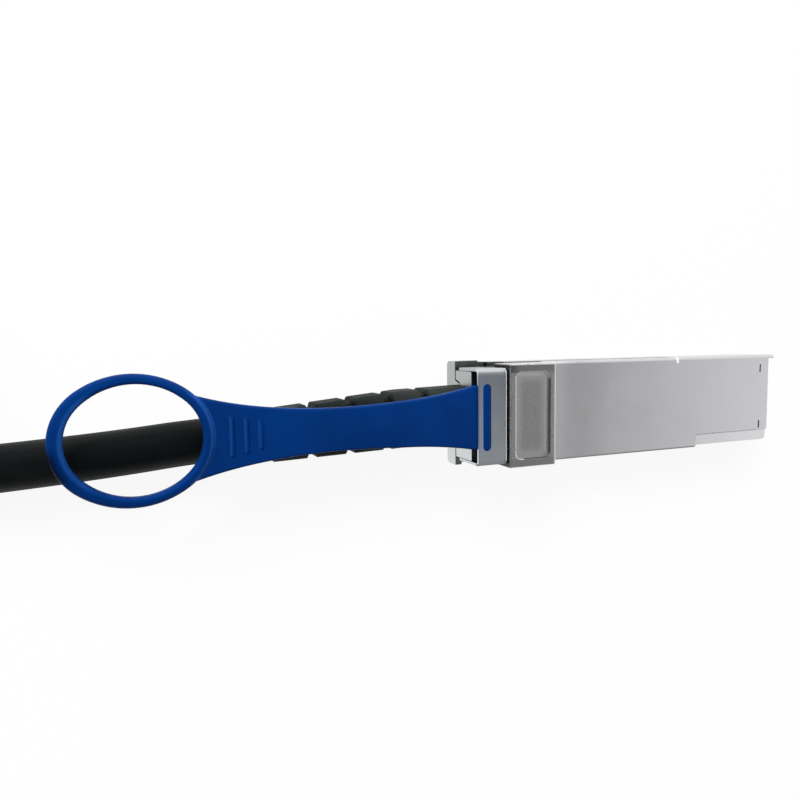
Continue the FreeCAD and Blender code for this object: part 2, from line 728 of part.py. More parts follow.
def route_path(points):
    """Straight runs joined by tangent arcs, each as large as its shorter run allows."""
    here = points[0]
    edges = []
    radii = []
    for i in range(1, len(points) - 1):
        back = points[i - 1] - points[i]
        ahead = points[i + 1] - points[i]
        cut = ARC_SHARE * min(back.Length, ahead.Length)
        back.normalize()
        ahead.normalize()
        half = back.getAngle(ahead) / 2
        radius = cut * math.tan(half)
        start = points[i] + back * cut
        end = points[i] + ahead * cut
        middle = points[i] + (back + ahead).normalize() * (radius / math.sin(half) - radius)
        edges.append(Part.LineSegment(here, start).toShape())
        edges.append(Part.Arc(start, middle, end).toShape())
        radii.append(radius)
        here = end
    edges.append(Part.LineSegment(here, points[-1]).toShape())
    return Part.Wire(edges), radii


def cord(name, points, diameter):
    """Plain tube along a cord's route, with its figures printed."""
    path, radii = route_path(points)
    ring = Part.makeCircle(diameter / 2, points[0], points[1] - points[0])
    tube = path.makePipeShell([Part.Wire(ring)], True, True)
    ideal = math.pi * diameter ** 2 / 4 * path.Length
    bends = ", ".join(f"{r:.0f}" for r in radii)
    print(f"{name}: {path.Length:.1f} mm long, volume ratio {tube.Volume / ideal:.4f}, bend radii {bends}")
    return tube


def splitter():
    """Moulded body with a collar for the trunk and one for each leg."""
    front = SPLITTER_TIP - TRUNK_COLLAR_L
    back = front - SPLITTER_BODY_L
    y, w = SPLITTER_Y, SPLITTER_W / 2
    body = rail(rectangle(y - w, y + w, 0, SPLITTER_H, SPLITTER_R), back, front)
    ends = [e for e in body.Edges if e.BoundBox.XLength < 1e-6]
    pieces = [
        body.makeChamfer(SPLITTER_R / 2, ends),
        stub(front, SPLITTER_TIP, y, SPLITTER_AXIS_Z, TRUNK_COLLAR_ROOT_R, TRUNK_COLLAR_R),
    ]
    for side in (-1, 1):
        for z in LEG_EXIT_Z:
            pieces.append(stub(back - LEG_COLLAR_L, back, y + side * LEG_EXIT_Y, z,
                               LEG_COLLAR_R, LEG_COLLAR_ROOT_R))
    return fuse(pieces)


def leg_tie():
    y0, z0 = TIE_LOW
    y1, z1 = y0 + TIE_SIZE[0], z0 + TIE_SIZE[1]
    t = TIE_T
    outer = rail(rectangle(y0 - t, y1 + t, z0, z1, TIE_R + t), TIE_START, TIE_START + TIE_L)
    inner = rail(rectangle(y0, y1, z0 + t, z1 - t, TIE_R), TIE_START, TIE_START + TIE_L)
    return outer.cut(inner)


def sfp_shell():
    half = SFP_W / 2
    inside = half - SFP_WALL
    section_outline = [(-half, SFP_COVER_T, 0), (half, SFP_COVER_T, 0), (half, SFP_H, SFP_EDGE_R),
                       (-half, SFP_H, SFP_EDGE_R)]
    block = rail(section_outline, -SFP_REAR_L, SFP_FRONT_L)
    inner_x = -SFP_REAR_L + SFP_REAR_WALL
    floor = SFP_H - SFP_CHANNEL_DEPTH
    cuts = [
        bar(inner_x, SFP_FRONT_L, inside, SFP_COVER_T, SFP_ROOF_Z),
        bar(-SFP_REAR_L, SFP_CHANNEL_END, SFP_CHANNEL_W / 2, floor, SFP_H),
        bar(-SFP_REAR_L, inner_x, SFP_NECK_W / 2 + SEAT_GAP, SFP_AXIS_Z - SFP_NECK_H / 2 - SEAT_GAP,
            SFP_AXIS_Z + SFP_NECK_H / 2 + SEAT_GAP),
    ]
    for x in SFP_EAR_X:
        cuts += pair(box(x - SEAT_GAP, x + SFP_EAR_L + SEAT_GAP, half - SFP_EAR_T, half,
                         SFP_COVER_T, SFP_COVER_T + SFP_EAR_H + SEAT_GAP))
    boss = slab([(SFP_BOSS_X, 0, 0), (SFP_BOSS_X + SFP_BOSS_L, -SFP_BOSS_W / 2, 0),
                 (SFP_BOSS_X + SFP_BOSS_L, SFP_BOSS_W / 2, 0)], floor, SFP_H)
    card_top = SFP_CARD_Z + SFP_CARD_T
    ledge = box(SFP_LEDGE_X[0], SFP_LEDGE_X[1], inside - SFP_LEDGE_W, inside,
                card_top, card_top + SFP_LEDGE_T)
    stop = bar(SFP_SPRING_X - SFP_STOP_L, SFP_SPRING_X, SFP_SPRING_W / 2, floor, floor + SFP_STRIP_T)
    return fuse([block.cut(cuts), boss, stop] + pair(ledge))


def sfp_cover():
    half = SFP_W / 2
    pieces = [bar(-SFP_REAR_L, SFP_FRONT_L, half, 0, SFP_COVER_T)]
    for x in SFP_EAR_X:
        pieces += pair(box(x, x + SFP_EAR_L, half - SFP_EAR_T, half, 0, SFP_COVER_T + SFP_EAR_H))
    for x in SFP_POST_X:
        pieces.append(post(x, 0, 0, SFP_CARD_Z, SFP_POST_R))
    return fuse(pieces)


def sfp_card():
    wide, narrow = SFP_CARD_W / 2, SFP_CARD_EDGE_W / 2
    front = SFP_FRONT_L - SFP_CARD_SETBACK
    corners = [(SFP_CARD_REAR, -wide, 0), (SFP_CARD_STEP, -wide, 0), (SFP_CARD_STEP, -narrow, 0),
               (front, -narrow, 0), (front, narrow, 0), (SFP_CARD_STEP, narrow, 0),
               (SFP_CARD_STEP, wide, 0), (SFP_CARD_REAR, wide, 0)]
    return slab(corners, SFP_CARD_Z, SFP_CARD_Z + SFP_CARD_T)


def sfp_slider():
    """Release strip with its wedge at the latch boss, a window for the spring and a plain tab."""
    z0 = SFP_H - SFP_CHANNEL_DEPTH + RUN_GAP
    z1 = z0 + SFP_STRIP_T
    half = SFP_CHANNEL_W / 2 - RUN_GAP
    wedge_x = SFP_STRIP_END - SFP_WEDGE_L
    strip = bar(-SFP_REAR_L, SFP_STRIP_END, half, z0, z1)
    slope = Part.makePolygon([Vec(wedge_x, -half, z1), Vec(SFP_STRIP_END, -half, z1),
                              Vec(SFP_STRIP_END, -half, z1 - SFP_WEDGE_DROP), Vec(wedge_x, -half, z1)])
    window = bar(SFP_SPRING_X - SFP_STOP_L - RUN_GAP, SFP_SPRING_X + sfp_spring_l,
                 SFP_SPRING_W / 2 + RUN_GAP, z0, z1)
    strip = strip.cut([Part.Face(slope).extrude(Vec(0, 2 * half, 0)), window])
    tab_half = SFP_TAB_W / 2
    outline = [(-SFP_TAB_END, -tab_half, SFP_TAB_R), (-SFP_REAR_L - RUN_GAP, -tab_half, 0),
               (-SFP_REAR_L - RUN_GAP, tab_half, 0), (-SFP_TAB_END, tab_half, SFP_TAB_R)]
    tab = slab(outline, z1 - SFP_TAB_T, z1)
    grips = []
    for i in range(RIB_COUNT):
        x = -(SFP_TAB_RIB_FIRST + i * SFP_TAB_RIB_PITCH)
        grips.append(slab(slot_outline(SFP_TAB_RIB_L, SFP_TAB_RIB_W, x), z1 - SFP_TAB_RIB_DEPTH, z1))
    joint = bar(-SFP_REAR_L - 2 * RUN_GAP, -SFP_REAR_L, half, z0, z1)
    return fuse([tab.cut(grips), joint, strip])


def sfp_spring():
    z0 = SFP_H - SFP_CHANNEL_DEPTH + RUN_GAP
    half = SFP_SPRING_W / 2
    face = folded_spring(SFP_SPRING_X, sfp_spring_l, -half, half, lambda a, b: Vec(a, b, z0))
    return face.extrude(Vec(0, 0, SFP_STRIP_T - RUN_GAP))


def sfp_boot():
    tip_x = -SFP_REAR_L - SFP_BOOT_L
    taper = Part.makeLoft([
        section(-SFP_REAR_L, 0, SFP_AXIS_Z, SFP_BOOT_W, SFP_BOOT_H, SFP_BOOT_R),
        section(tip_x, 0, SFP_AXIS_Z, SFP_BOOT_TIP, SFP_BOOT_TIP, SFP_BOOT_R),
    ], True, True)
    neck = bar(-SFP_REAR_L, -SFP_REAR_L + SFP_REAR_WALL, SFP_NECK_W / 2, SFP_AXIS_Z - SFP_NECK_H / 2,
               SFP_AXIS_Z + SFP_NECK_H / 2)
    cuts = []
    for i in range(SFP_NOTCH_COUNT):
        x = -(SFP_NOTCH_FIRST + i * SFP_NOTCH_PITCH)
        width = SFP_BOOT_W + (SFP_BOOT_TIP - SFP_BOOT_W) * (-SFP_REAR_L - x) / SFP_BOOT_L
        cuts += pair(box(x - SFP_NOTCH_W / 2, x + SFP_NOTCH_W / 2, width / 2 - SFP_NOTCH_DEPTH, width / 2 + 1,
                         SFP_AXIS_Z - SFP_BOOT_H / 2, SFP_AXIS_Z + SFP_BOOT_H / 2))
    return fuse([taper.cut(cuts), neck])


os.makedirs("parts", exist_ok=True)

save("bottom_shell", bottom_shell())
save("top_shell", top_shell())
save("release_slider", release_slider())
save("pull_tab", pull_tab())
save("strain_relief", strain_relief())
save("paddle_card", paddle_card())
save("twinax_pairs", twinax_pairs())
save("return_springs", return_springs())
save("shell_screws", shell_screws())
save("crimp_ferrule", crimp_ferrule())
save("cable_end", cable_end())

save("trunk_cable", cord("trunk_cable", [Vec(*p) for p in TRUNK_ROUTE], TRUNK_D))
save("splitter", splitter())
save("leg_tie", leg_tie())

small_plug = {
    "sfp_shell": sfp_shell(),
    "sfp_cover": sfp_cover(),
    "sfp_card": sfp_card(),
    "sfp_slider": sfp_slider(),
    "sfp_spring": sfp_spring(),
    "sfp_boot": sfp_boot(),
}
number = 0
for layer in (0, 1):
    for route, (plug_x, y) in ((INNER_ROUTE, INNER_PLUG), (OUTER_ROUTE, OUTER_PLUG)):
        number += 1
        points = [Vec(row[0], row[1], row[2 + layer]) for row in route]
        save(f"leg_{number}", cord(f"leg_{number}", points, LEG_D))
        place = Vec(plug_x, y, layer * SFP_H)
        for piece, shape in small_plug.items():
            save(f"{piece}_{number}", shape.translated(place))
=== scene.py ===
import json
import math

import bmesh
import bpy
from mathutils import Matrix, Vector

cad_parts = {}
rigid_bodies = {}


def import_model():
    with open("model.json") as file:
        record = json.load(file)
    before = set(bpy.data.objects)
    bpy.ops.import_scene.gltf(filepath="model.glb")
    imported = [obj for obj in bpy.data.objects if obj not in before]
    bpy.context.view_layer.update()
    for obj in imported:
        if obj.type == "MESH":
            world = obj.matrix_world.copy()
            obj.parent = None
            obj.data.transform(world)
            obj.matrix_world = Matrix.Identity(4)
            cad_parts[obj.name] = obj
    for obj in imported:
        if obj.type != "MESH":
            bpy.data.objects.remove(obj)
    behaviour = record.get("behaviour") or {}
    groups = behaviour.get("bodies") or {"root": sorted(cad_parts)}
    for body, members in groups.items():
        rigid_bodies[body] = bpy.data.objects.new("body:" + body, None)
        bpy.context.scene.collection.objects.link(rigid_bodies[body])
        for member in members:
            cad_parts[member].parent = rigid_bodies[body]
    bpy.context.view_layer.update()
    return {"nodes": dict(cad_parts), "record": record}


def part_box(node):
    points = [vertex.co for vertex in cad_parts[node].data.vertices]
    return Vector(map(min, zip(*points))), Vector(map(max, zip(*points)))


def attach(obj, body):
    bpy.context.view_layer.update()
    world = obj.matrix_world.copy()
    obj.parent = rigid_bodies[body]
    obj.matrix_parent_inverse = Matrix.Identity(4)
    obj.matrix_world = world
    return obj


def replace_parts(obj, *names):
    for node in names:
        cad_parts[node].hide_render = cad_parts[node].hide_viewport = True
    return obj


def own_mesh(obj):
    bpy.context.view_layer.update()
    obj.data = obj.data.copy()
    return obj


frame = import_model()

# Metres, in the part's own frame: X along the large plug towards its mating end, Y across it and Z up.
MM = 0.001
PLUG = "plug"
nodes = frame["nodes"]
SMALL_PLUGS = (1, 2, 3, 4)
LEG_END_PIECES = ("shell", "cover", "card", "slider", "boot")

# Camera
CAMERA_PLACE = (-0.07164, 0.01372, 0.11596)
CAMERA_FORWARD = (0.3751, -0.0884, -0.9228)
CAMERA_UP = (0.0456, 0.996, -0.0769)
CAMERA_LENS = 31.5
CAMERA_SENSOR = 36.0
CAMERA_NEAR = 0.005

# Cords, in millimetres
TRUNK_D = 7.0
LEG_D = 4.0
TRUNK_ROUTE = (
    (-49.0, -1.45, 5.0),
    (-58.0, -1.45, 5.0),
    (-74.0, -3.1, 4.6),
    (-98.0, -4.5, 4.1),
    (-130.0, -5.7, 3.7),
    (-172.0, -6.3, 3.55),
    (-212.0, -5.8, 3.75),
    (-238.0, -5.0, 5.0),
    (-253.0, -5.0, 5.0),
)
# X, Y, then Z of the lower leg and Z of the leg that lies on it.
INNER_ROUTE = (
    (-293.0, -2.2, 3.0, 8.0),
    (-310.4, -2.2, 3.0, 8.0),
    (-323.0, 10.4, 2.2, 6.6),
    (-323.0, 28.4, 2.05, 6.2),
    (-310.4, 41.0, 2.1, 6.25),
    (-290.0, 40.0, 2.1, 6.25),
    (-266.0, 36.2, 2.3, 6.45),
    (-240.0, 31.4, 3.15, 7.25),
    (-218.0, 30.2, 3.2, 7.3),
    (-199.0, 27.4, 3.6, 9.8),
    (-184.0, 24.0, 4.0, 12.5),
    (-174.0, 24.0, 4.0, 12.5),
)
OUTER_ROUTE = (
    (-293.0, -7.8, 3.0, 8.0),
    (-312.8, -7.8, 3.0, 8.0),
    (-328.4, 7.8, 2.2, 6.6),
    (-328.4, 29.8, 2.05, 6.2),
    (-312.8, 45.4, 2.1, 6.25),
    (-290.0, 44.4, 2.1, 6.25),
    (-266.0, 40.6, 2.3, 6.45),
    (-240.0, 36.0, 3.15, 7.25),
    (-218.0, 34.8, 3.2, 7.3),
    (-203.0, 38.3, 4.0, 12.5),
    (-190.0, 38.3, 4.0, 12.5),
)
CORD_ORDER = 3
CORD_SIDES = 6
CORD_STEPS = 16

# Edge contacts, in millimetres; the first of every group is a ground contact, the others are shorter
CONTACT_PITCH = 0.8
CONTACT_L = 2.6
CONTACT_W = 0.54
CONTACT_T = 0.05
CONTACT_SETBACK = 0.35
CONTACT_GROUP = 3
SIGNAL_REACH = 0.82
LARGE_CONTACTS = 19
SMALL_CONTACTS = 10

# Shell screws, head down, in millimetres: height above the plug's underside, radius and corners
# of each section
SCREW_RINGS = (
    (0.62, 0.0, 0),
    (0.62, 0.62, 6),
    (0.14, 0.70, 6),
    (0.10, 1.18, 0),
    (0.16, 1.30, 0),
    (0.30, 1.35, 0),
    (0.85, 1.35, 0),
    (0.85, 0.75, 0),
    (6.80, 0.75, 0),
    (7.10, 0.50, 0),
    (7.10, 0.0, 0),
)
SCREW_COUNT = 2
SCREW_SIDES = 36
SCREW_X = -4.7
SCREW_Y = 6.35

# Corners of a solid's loose triangles that lie closer than this, in metres, are one.
MERGE_GAP = 1e-7


def make_camera():
    data = bpy.data.cameras.new("camera")
    data.sensor_width = CAMERA_SENSOR
    data.lens = CAMERA_LENS
    data.clip_start = CAMERA_NEAR
    camera = bpy.data.objects.new("camera", data)
    forward = Vector(CAMERA_FORWARD).normalized()
    right = forward.cross(Vector(CAMERA_UP)).normalized()
    turn = Matrix((right, right.cross(forward), -forward)).transposed().to_4x4()
    turn.translation = CAMERA_PLACE
    camera.matrix_world = turn
    bpy.context.scene.collection.objects.link(camera)
    bpy.context.scene.camera = camera


def new_piece(name, data):
    """Piece of the plug, carried by its body."""
    piece = bpy.data.objects.new(name, data)
    bpy.context.scene.collection.objects.link(piece)
    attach(piece, PLUG)
    return piece


def cord_jacket(name, route, diameter, finish):
    """Round jacket along a smooth line that follows the route's points."""
    data = bpy.data.curves.new(name, "CURVE")
    data.dimensions = "3D"
    spline = data.splines.new("NURBS")
    spline.points.add(len(route) - 1)
    for point, place in zip(spline.points, route):
        point.co = (*(Vector(place) * MM), 1.0)
    spline.order_u = CORD_ORDER
    spline.use_endpoint_u = True
    data.resolution_u = CORD_STEPS
    data.bevel_depth = diameter / 2 * MM
    data.bevel_resolution = CORD_SIDES
    data.use_fill_caps = True
    data.materials.append(finish)
    return new_piece(name, data)


def lay_cords(finish, contacts):
    """Jackets of the trunk and of the four legs, in place of their solids."""
    trunk = cord_jacket("trunk_jacket", TRUNK_ROUTE, TRUNK_D, finish)
    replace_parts(trunk, "trunk_cable")
    number = 0
    for layer in (0, 1):
        for rows in (INNER_ROUTE, OUTER_ROUTE):
            number += 1
            route = [(x, y, z[layer]) for x, y, *z in rows]
            leg = cord_jacket(f"leg_jacket_{number}", route, LEG_D, finish)
            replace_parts(leg, f"leg_{number}")
            pieces = [nodes[f"sfp_{piece}_{number}"] for piece in LEG_END_PIECES]
            pieces += [contacts[number], bpy.data.objects[f"small_spring_{number}"]]
            if number == 1:
                pieces.append(nodes["leg_tie"])


def new_tree(name, sockets):
    """Node tree with named inputs, the sockets that give them, and a helper that adds nodes to it."""
    tree = bpy.data.node_groups.new(name, "GeometryNodeTree")
    for label, kind in sockets:
        tree.interface.new_socket(label, in_out="INPUT", socket_type="NodeSocket" + kind)
    tree.interface.new_socket("Geometry", in_out="OUTPUT", socket_type="NodeSocketGeometry")
    given = tree.nodes.new("NodeGroupInput").outputs

    def add(kind, output, *links, operation=None, **named):
        node = tree.nodes.new(kind)
        if operation:
            node.operation = operation
        pairs = list(enumerate(links))
        pairs += [(label.replace("_", " "), value) for label, value in named.items()]
        for label, value in pairs:
            if isinstance(value, bpy.types.NodeSocket):
                tree.links.new(value, node.inputs[label])
            else:
                node.inputs[label].default_value = value
        return node.outputs[output]

    return tree, given, add


def point_row(given, add):
    """Row of points across the plug."""
    step = add("ShaderNodeCombineXYZ", "Vector", Y=given["Pitch"])
    return add("GeometryNodeMeshLine", "Mesh", Count=given["Count"], Start_Location=given["Place"],
               Offset=step)


def end_tree(tree, add, instances, finish):
    """Turns the instances into one mesh with a finish."""
    solid = add("GeometryNodeRealizeInstances", "Geometry", instances)
    done = add("GeometryNodeSetMaterial", "Geometry", Geometry=solid, Material=finish)
    tree.links.new(done, tree.nodes.new("NodeGroupOutput").inputs[0])
    return tree


def contact_tree():
    """Row of plated contacts on both faces of a board, the ground contacts longer."""
    tree, given, add = new_tree("contact_row", (
        ("Count", "Int"), ("Pitch", "Float"), ("Length", "Float"), ("Width", "Float"),
        ("Plating", "Float"), ("Board", "Float"), ("Place", "Vector"), ("Finish", "Material")))
    size = add("ShaderNodeCombineXYZ", "Vector", given["Length"], given["Width"], given["Plating"])
    pad = add("GeometryNodeMeshCube", "Mesh", Size=size)
    middle = add("ShaderNodeMath", "Value", given["Length"], 0.5, operation="MULTIPLY")
    faces = tree.nodes.new("GeometryNodeJoinGeometry")
    for side in (0.5, -0.5):
        height = add("ShaderNodeMath", "Value", given["Board"], side, operation="MULTIPLY")
        move = add("ShaderNodeCombineXYZ", "Vector", X=middle, Z=height)
        face = add("GeometryNodeTransform", "Geometry", Geometry=pad, Translation=move)
        tree.links.new(face, faces.inputs[0])
    line = point_row(given, add)
    index = add("GeometryNodeInputIndex", "Index")
    turn = add("ShaderNodeMath", "Value", index, CONTACT_GROUP, operation="MODULO")
    ground = add("ShaderNodeMath", "Value", turn, 0.5, operation="LESS_THAN")
    reach = add("ShaderNodeMath", "Value", ground, 1.0 - SIGNAL_REACH, SIGNAL_REACH,
                operation="MULTIPLY_ADD")
    scale = add("ShaderNodeCombineXYZ", "Vector", reach, 1.0, 1.0)
    row = add("GeometryNodeInstanceOnPoints", "Instances", Points=line, Instance=faces.outputs[0],
              Scale=scale)
    return end_tree(tree, add, row, given["Finish"])


def screw_tree():
    """Row of copies of the screw that the tree is given."""
    tree, given, add = new_tree("screw_row", (
        ("Geometry", "Geometry"), ("Count", "Int"), ("Pitch", "Float"), ("Place", "Vector"),
        ("Finish", "Material")))
    row = add("GeometryNodeInstanceOnPoints", "Instances", Points=point_row(given, add),
              Instance=given["Geometry"])
    return end_tree(tree, add, row, given["Finish"])


def grown_mesh(name, seed, tree, **sizes):
    """Plain mesh that a tree grows from a seed with these sizes."""
    maker = bpy.data.objects.new(name, seed)
    bpy.context.scene.collection.objects.link(maker)
    modifier = maker.modifiers.new("grow", "NODES")
    modifier.node_group = tree
    for socket in tree.interface.items_tree:
        if socket.in_out == "INPUT" and socket.name in sizes:
            modifier[socket.identifier] = sizes[socket.name]
    grown = maker.evaluated_get(bpy.context.evaluated_depsgraph_get())
    mesh = bpy.data.meshes.new_from_object(grown)
    maker.modifiers.remove(modifier)
    bpy.data.objects.remove(maker)
    return mesh


def plate_contacts(finish):
    """Contacts on the front edge of each board, one piece for each plug; the large plug has number 0."""
    tree = contact_tree()
    rows = {}
    for number in (0, *SMALL_PLUGS):
        low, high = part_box(f"sfp_card_{number}" if number else "paddle_card")
        count = SMALL_CONTACTS if number else LARGE_CONTACTS
        first = (low.y + high.y) / 2 - (count - 1) / 2 * CONTACT_PITCH * MM
        rear = high.x - (CONTACT_SETBACK + CONTACT_L) * MM
        name = f"edge_contacts_{number}"
        mesh = grown_mesh(name, bpy.data.meshes.new("contact_seed"), tree, Count=count,
                          Pitch=CONTACT_PITCH * MM, Length=CONTACT_L * MM, Width=CONTACT_W * MM,
                          Plating=CONTACT_T * MM, Board=high.z - low.z,
                          Place=(rear, first, (low.z + high.z) / 2), Finish=finish)
        rows[number] = new_piece(name, mesh)
    return rows


def turned_screw():
    """Pan head with a six-sided recess, and its shank."""
    form = bmesh.new()
    rings = []
    for height, radius, corners in SCREW_RINGS:
        if radius == 0.0:
            rings.append([form.verts.new((0, 0, height * MM))])
            continue
        ring = []
        for side in range(SCREW_SIDES):
            angle = math.tau * side / SCREW_SIDES
            reach = radius * MM
            if corners:
                half = math.pi / corners
                reach *= math.cos(half) / math.cos(angle % (2 * half) - half)
            ring.append(form.verts.new((reach * math.cos(angle), reach * math.sin(angle), height * MM)))
        rings.append(ring)
    for lower, upper in zip(rings, rings[1:]):
        for side in range(SCREW_SIDES):
            corners = [lower[side % len(lower)], lower[(side + 1) % len(lower)],
                       upper[(side + 1) % len(upper)], upper[side % len(upper)]]
            form.faces.new(list(dict.fromkeys(corners)))
    bmesh.ops.recalc_face_normals(form, faces=form.faces)
    mesh = bpy.data.meshes.new("turned_screw")
    form.to_mesh(mesh)
    form.free()
    return mesh


def seat_screws(finish):
    mesh = grown_mesh("recess_screws", turned_screw(), screw_tree(), Count=SCREW_COUNT,
                      Pitch=2 * SCREW_Y * MM, Place=(SCREW_X * MM, -SCREW_Y * MM, 0.0), Finish=finish)
    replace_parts(new_piece("recess_screws", mesh), "shell_screws")


def fit_spring(name, node, finish):
    """Copy of a folded spring's solid, with its corners merged, in place of the solid."""
    form = bmesh.new()
    form.from_mesh(nodes[node].data)
    bmesh.ops.remove_doubles(form, verts=form.verts, dist=MERGE_GAP)
    mesh = bpy.data.meshes.new(name)
    form.to_mesh(mesh)
    form.free()
    mesh.materials.append(finish)
    spring = new_piece(name, mesh)
    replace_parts(spring, node)
    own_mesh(spring)


def fit_springs(finish):
    fit_spring("slider_springs", "return_springs", finish)
    for number in SMALL_PLUGS:
        fit_spring(f"small_spring_{number}", f"sfp_spring_{number}",
                   finish)


# Sockets of a node that mixes two colours, which share their labels with its other sockets
MIX_FIRST = 6
MIX_SECOND = 7
MIX_RESULT = 2
# Rays of the nodes that look for corners and round off edges
CREVICE_RAYS = 6
BEVEL_RAYS = 5
# Width of the fade at each limit of a place, in metres, where the place names none
FADE = 0.0001
# How far a softened normal turns away from the surface where an edge starts and where it is full
EDGE_TURN = (0.02, 0.2)


class Finish:
    """A material under construction: its node tree, its shader and its object coordinates."""

    def __init__(self, name, **sockets):
        self.material = bpy.data.materials.new(name)
        self.material.use_nodes = True
        self.tree = self.material.node_tree
        self.shader = self.tree.nodes["Principled BSDF"]
        for socket, value in sockets.items():
            self.shader.inputs[socket.replace("_", " ")].default_value = value
        self.place = self.tree.nodes.new("ShaderNodeTexCoord").outputs["Object"]
        self.surface = self.tree.nodes.new("ShaderNodeNewGeometry")

    def link(self, output, socket):
        self.tree.links.new(output, socket)

    def noise(self, size, detail, stretch=(1, 1, 1)):
        """Cloudy values with spots of about that size in metres, drawn out along the axes by stretch."""
        turn = self.tree.nodes.new("ShaderNodeMapping")
        turn.inputs["Scale"].default_value = [1 / (size * s) for s in stretch]
        self.link(self.place, turn.inputs["Vector"])
        node = self.tree.nodes.new("ShaderNodeTexNoise")
        node.inputs["Scale"].default_value = 1.0
        node.inputs["Detail"].default_value = detail
        self.link(turn.outputs["Vector"], node.inputs["Vector"])
        return node.outputs["Fac"]

    def levels(self, value, low, high, to_low=0.0, to_high=1.0):
        """Values from low to high spread over another range, smoothly."""
        node = self.tree.nodes.new("ShaderNodeMapRange")
        node.interpolation_type = "SMOOTHSTEP"
        limits = {"From Min": low, "From Max": high, "To Min": to_low, "To Max": to_high}
        for socket, number in limits.items():
            node.inputs[socket].default_value = number
        self.link(value, node.inputs["Value"])
        return node.outputs["Result"]

    def part_of(self, vector, axis):
        node = self.tree.nodes.new("ShaderNodeSeparateXYZ")
        self.link(vector, node.inputs["Vector"])
        return node.outputs[axis]

    def along(self, axis):
        """Object coordinate along X, Y or Z."""
        return self.part_of(self.place, axis)

    def beyond(self, axis, start, full, least=0.0, most=1.0):
        """Share that goes from least at one object coordinate to most at another."""
        return self.levels(self.along(axis), start, full, least, most)

    def within(self, axis, low, high, soft=FADE):
        """Share that is 1 between two object coordinates."""
        value = self.along(axis)
        return self.combine(self.levels(value, low - soft, low + soft),
                            self.levels(value, high + soft, high - soft))

    def turned(self, axis, start, full):
        """Share that is 1 where the surface faces far enough along X, Y or Z."""
        return self.levels(self.part_of(self.surface.outputs["Normal"], axis), start, full)

    def combine(self, first, second, operation="MULTIPLY"):
        node = self.tree.nodes.new("ShaderNodeMath")
        node.operation = operation
        for socket, value in zip(node.inputs, (first, second)):
            if isinstance(value, (int, float)):
                socket.default_value = value
            else:
                self.link(value, socket)
        return node.outputs["Value"]

    def meet(self, share, *others):
        """Product of shares, which is 1 only where all of them are."""
        for other in others:
            share = self.combine(share, other)
        return share

    def either(self, first, second):
        """The larger of two shares."""
        return self.combine(first, second, "MAXIMUM")

    def blend(self, share, first, second):
        """Colour or output that goes from first to second with share."""
        node = self.tree.nodes.new("ShaderNodeMix")
        node.data_type = "RGBA"
        self.link(share, node.inputs["Factor"])
        for socket, value in ((MIX_FIRST, first), (MIX_SECOND, second)):
            if isinstance(value, tuple):
                node.inputs[socket].default_value = (*value, 1.0)
            else:
                self.link(value, node.inputs[socket])
        return node.outputs[MIX_RESULT]

    def crevice(self, distance, low, high):
        """Share that is 1 deep in a corner or gap of the piece itself."""
        node = self.tree.nodes.new("ShaderNodeAmbientOcclusion")
        node.samples = CREVICE_RAYS
        node.only_local = True
        node.inputs["Distance"].default_value = distance
        return self.levels(node.outputs["AO"], high, low)

    def softened(self, radius):
        """Normal that rounds the piece's edges."""
        node = self.tree.nodes.new("ShaderNodeBevel")
        node.samples = BEVEL_RAYS
        node.inputs["Radius"].default_value = radius
        return node.outputs["Normal"]

    def edge(self, softened):
        """Share that is 1 on edges, from a softened normal."""
        node = self.tree.nodes.new("ShaderNodeVectorMath")
        node.operation = "DOT_PRODUCT"
        self.link(softened, node.inputs[0])
        self.link(self.surface.outputs["Normal"], node.inputs[1])
        start, full = EDGE_TURN
        return self.levels(node.outputs["Value"], 1.0 - start, 1.0 - full)

    def off_axis(self, point):
        """Distance from an upright line through a point."""
        flat = self.tree.nodes.new("ShaderNodeVectorMath")
        flat.operation = "MULTIPLY"
        flat.inputs[1].default_value = (1.0, 1.0, 0.0)
        self.link(self.place, flat.inputs[0])
        node = self.tree.nodes.new("ShaderNodeVectorMath")
        node.operation = "DISTANCE"
        node.inputs[1].default_value = point
        self.link(flat.outputs["Vector"], node.inputs[0])
        return node.outputs["Value"]

    def colour(self, output):
        self.link(output, self.shader.inputs["Base Color"])

    def non_metallic(self, share):
        """Makes a share of the surface non-metallic, so that a painted highlight there shows in its
        colour.
        """
        self.link(self.combine(1.0, share, "SUBTRACT"), self.shader.inputs["Metallic"])

    def roughness(self, output):
        self.link(output, self.shader.inputs["Roughness"])

    def relief(self, height, depth, base=None):
        """Bump of that depth in metres, laid on an earlier normal."""
        node = self.tree.nodes.new("ShaderNodeBump")
        node.inputs["Distance"].default_value = depth
        self.link(height, node.inputs["Height"])
        if base is not None:
            self.link(base, node.inputs["Normal"])
        self.link(node.outputs["Normal"], self.shader.inputs["Normal"])
        return node.outputs["Normal"]


# Finishes, in metres. A grain has its size, its detail and, where it is drawn out, its stretch along
# X, Y and Z. Levels are the values of a grain where a tone starts and where it is full and, where they
# aren't 0 and 1, the shares there. A place along X, Y or Z has two limits and, where it isn't the usual
# one, a fade, or it has where a tone starts and where it is full, like levels. A turn does so for the
# way that a surface faces. The far side is at +Y and the near side at -Y.

# Values of a grain between which most of a surface lies
CLOUDS = (0.3, 0.7)

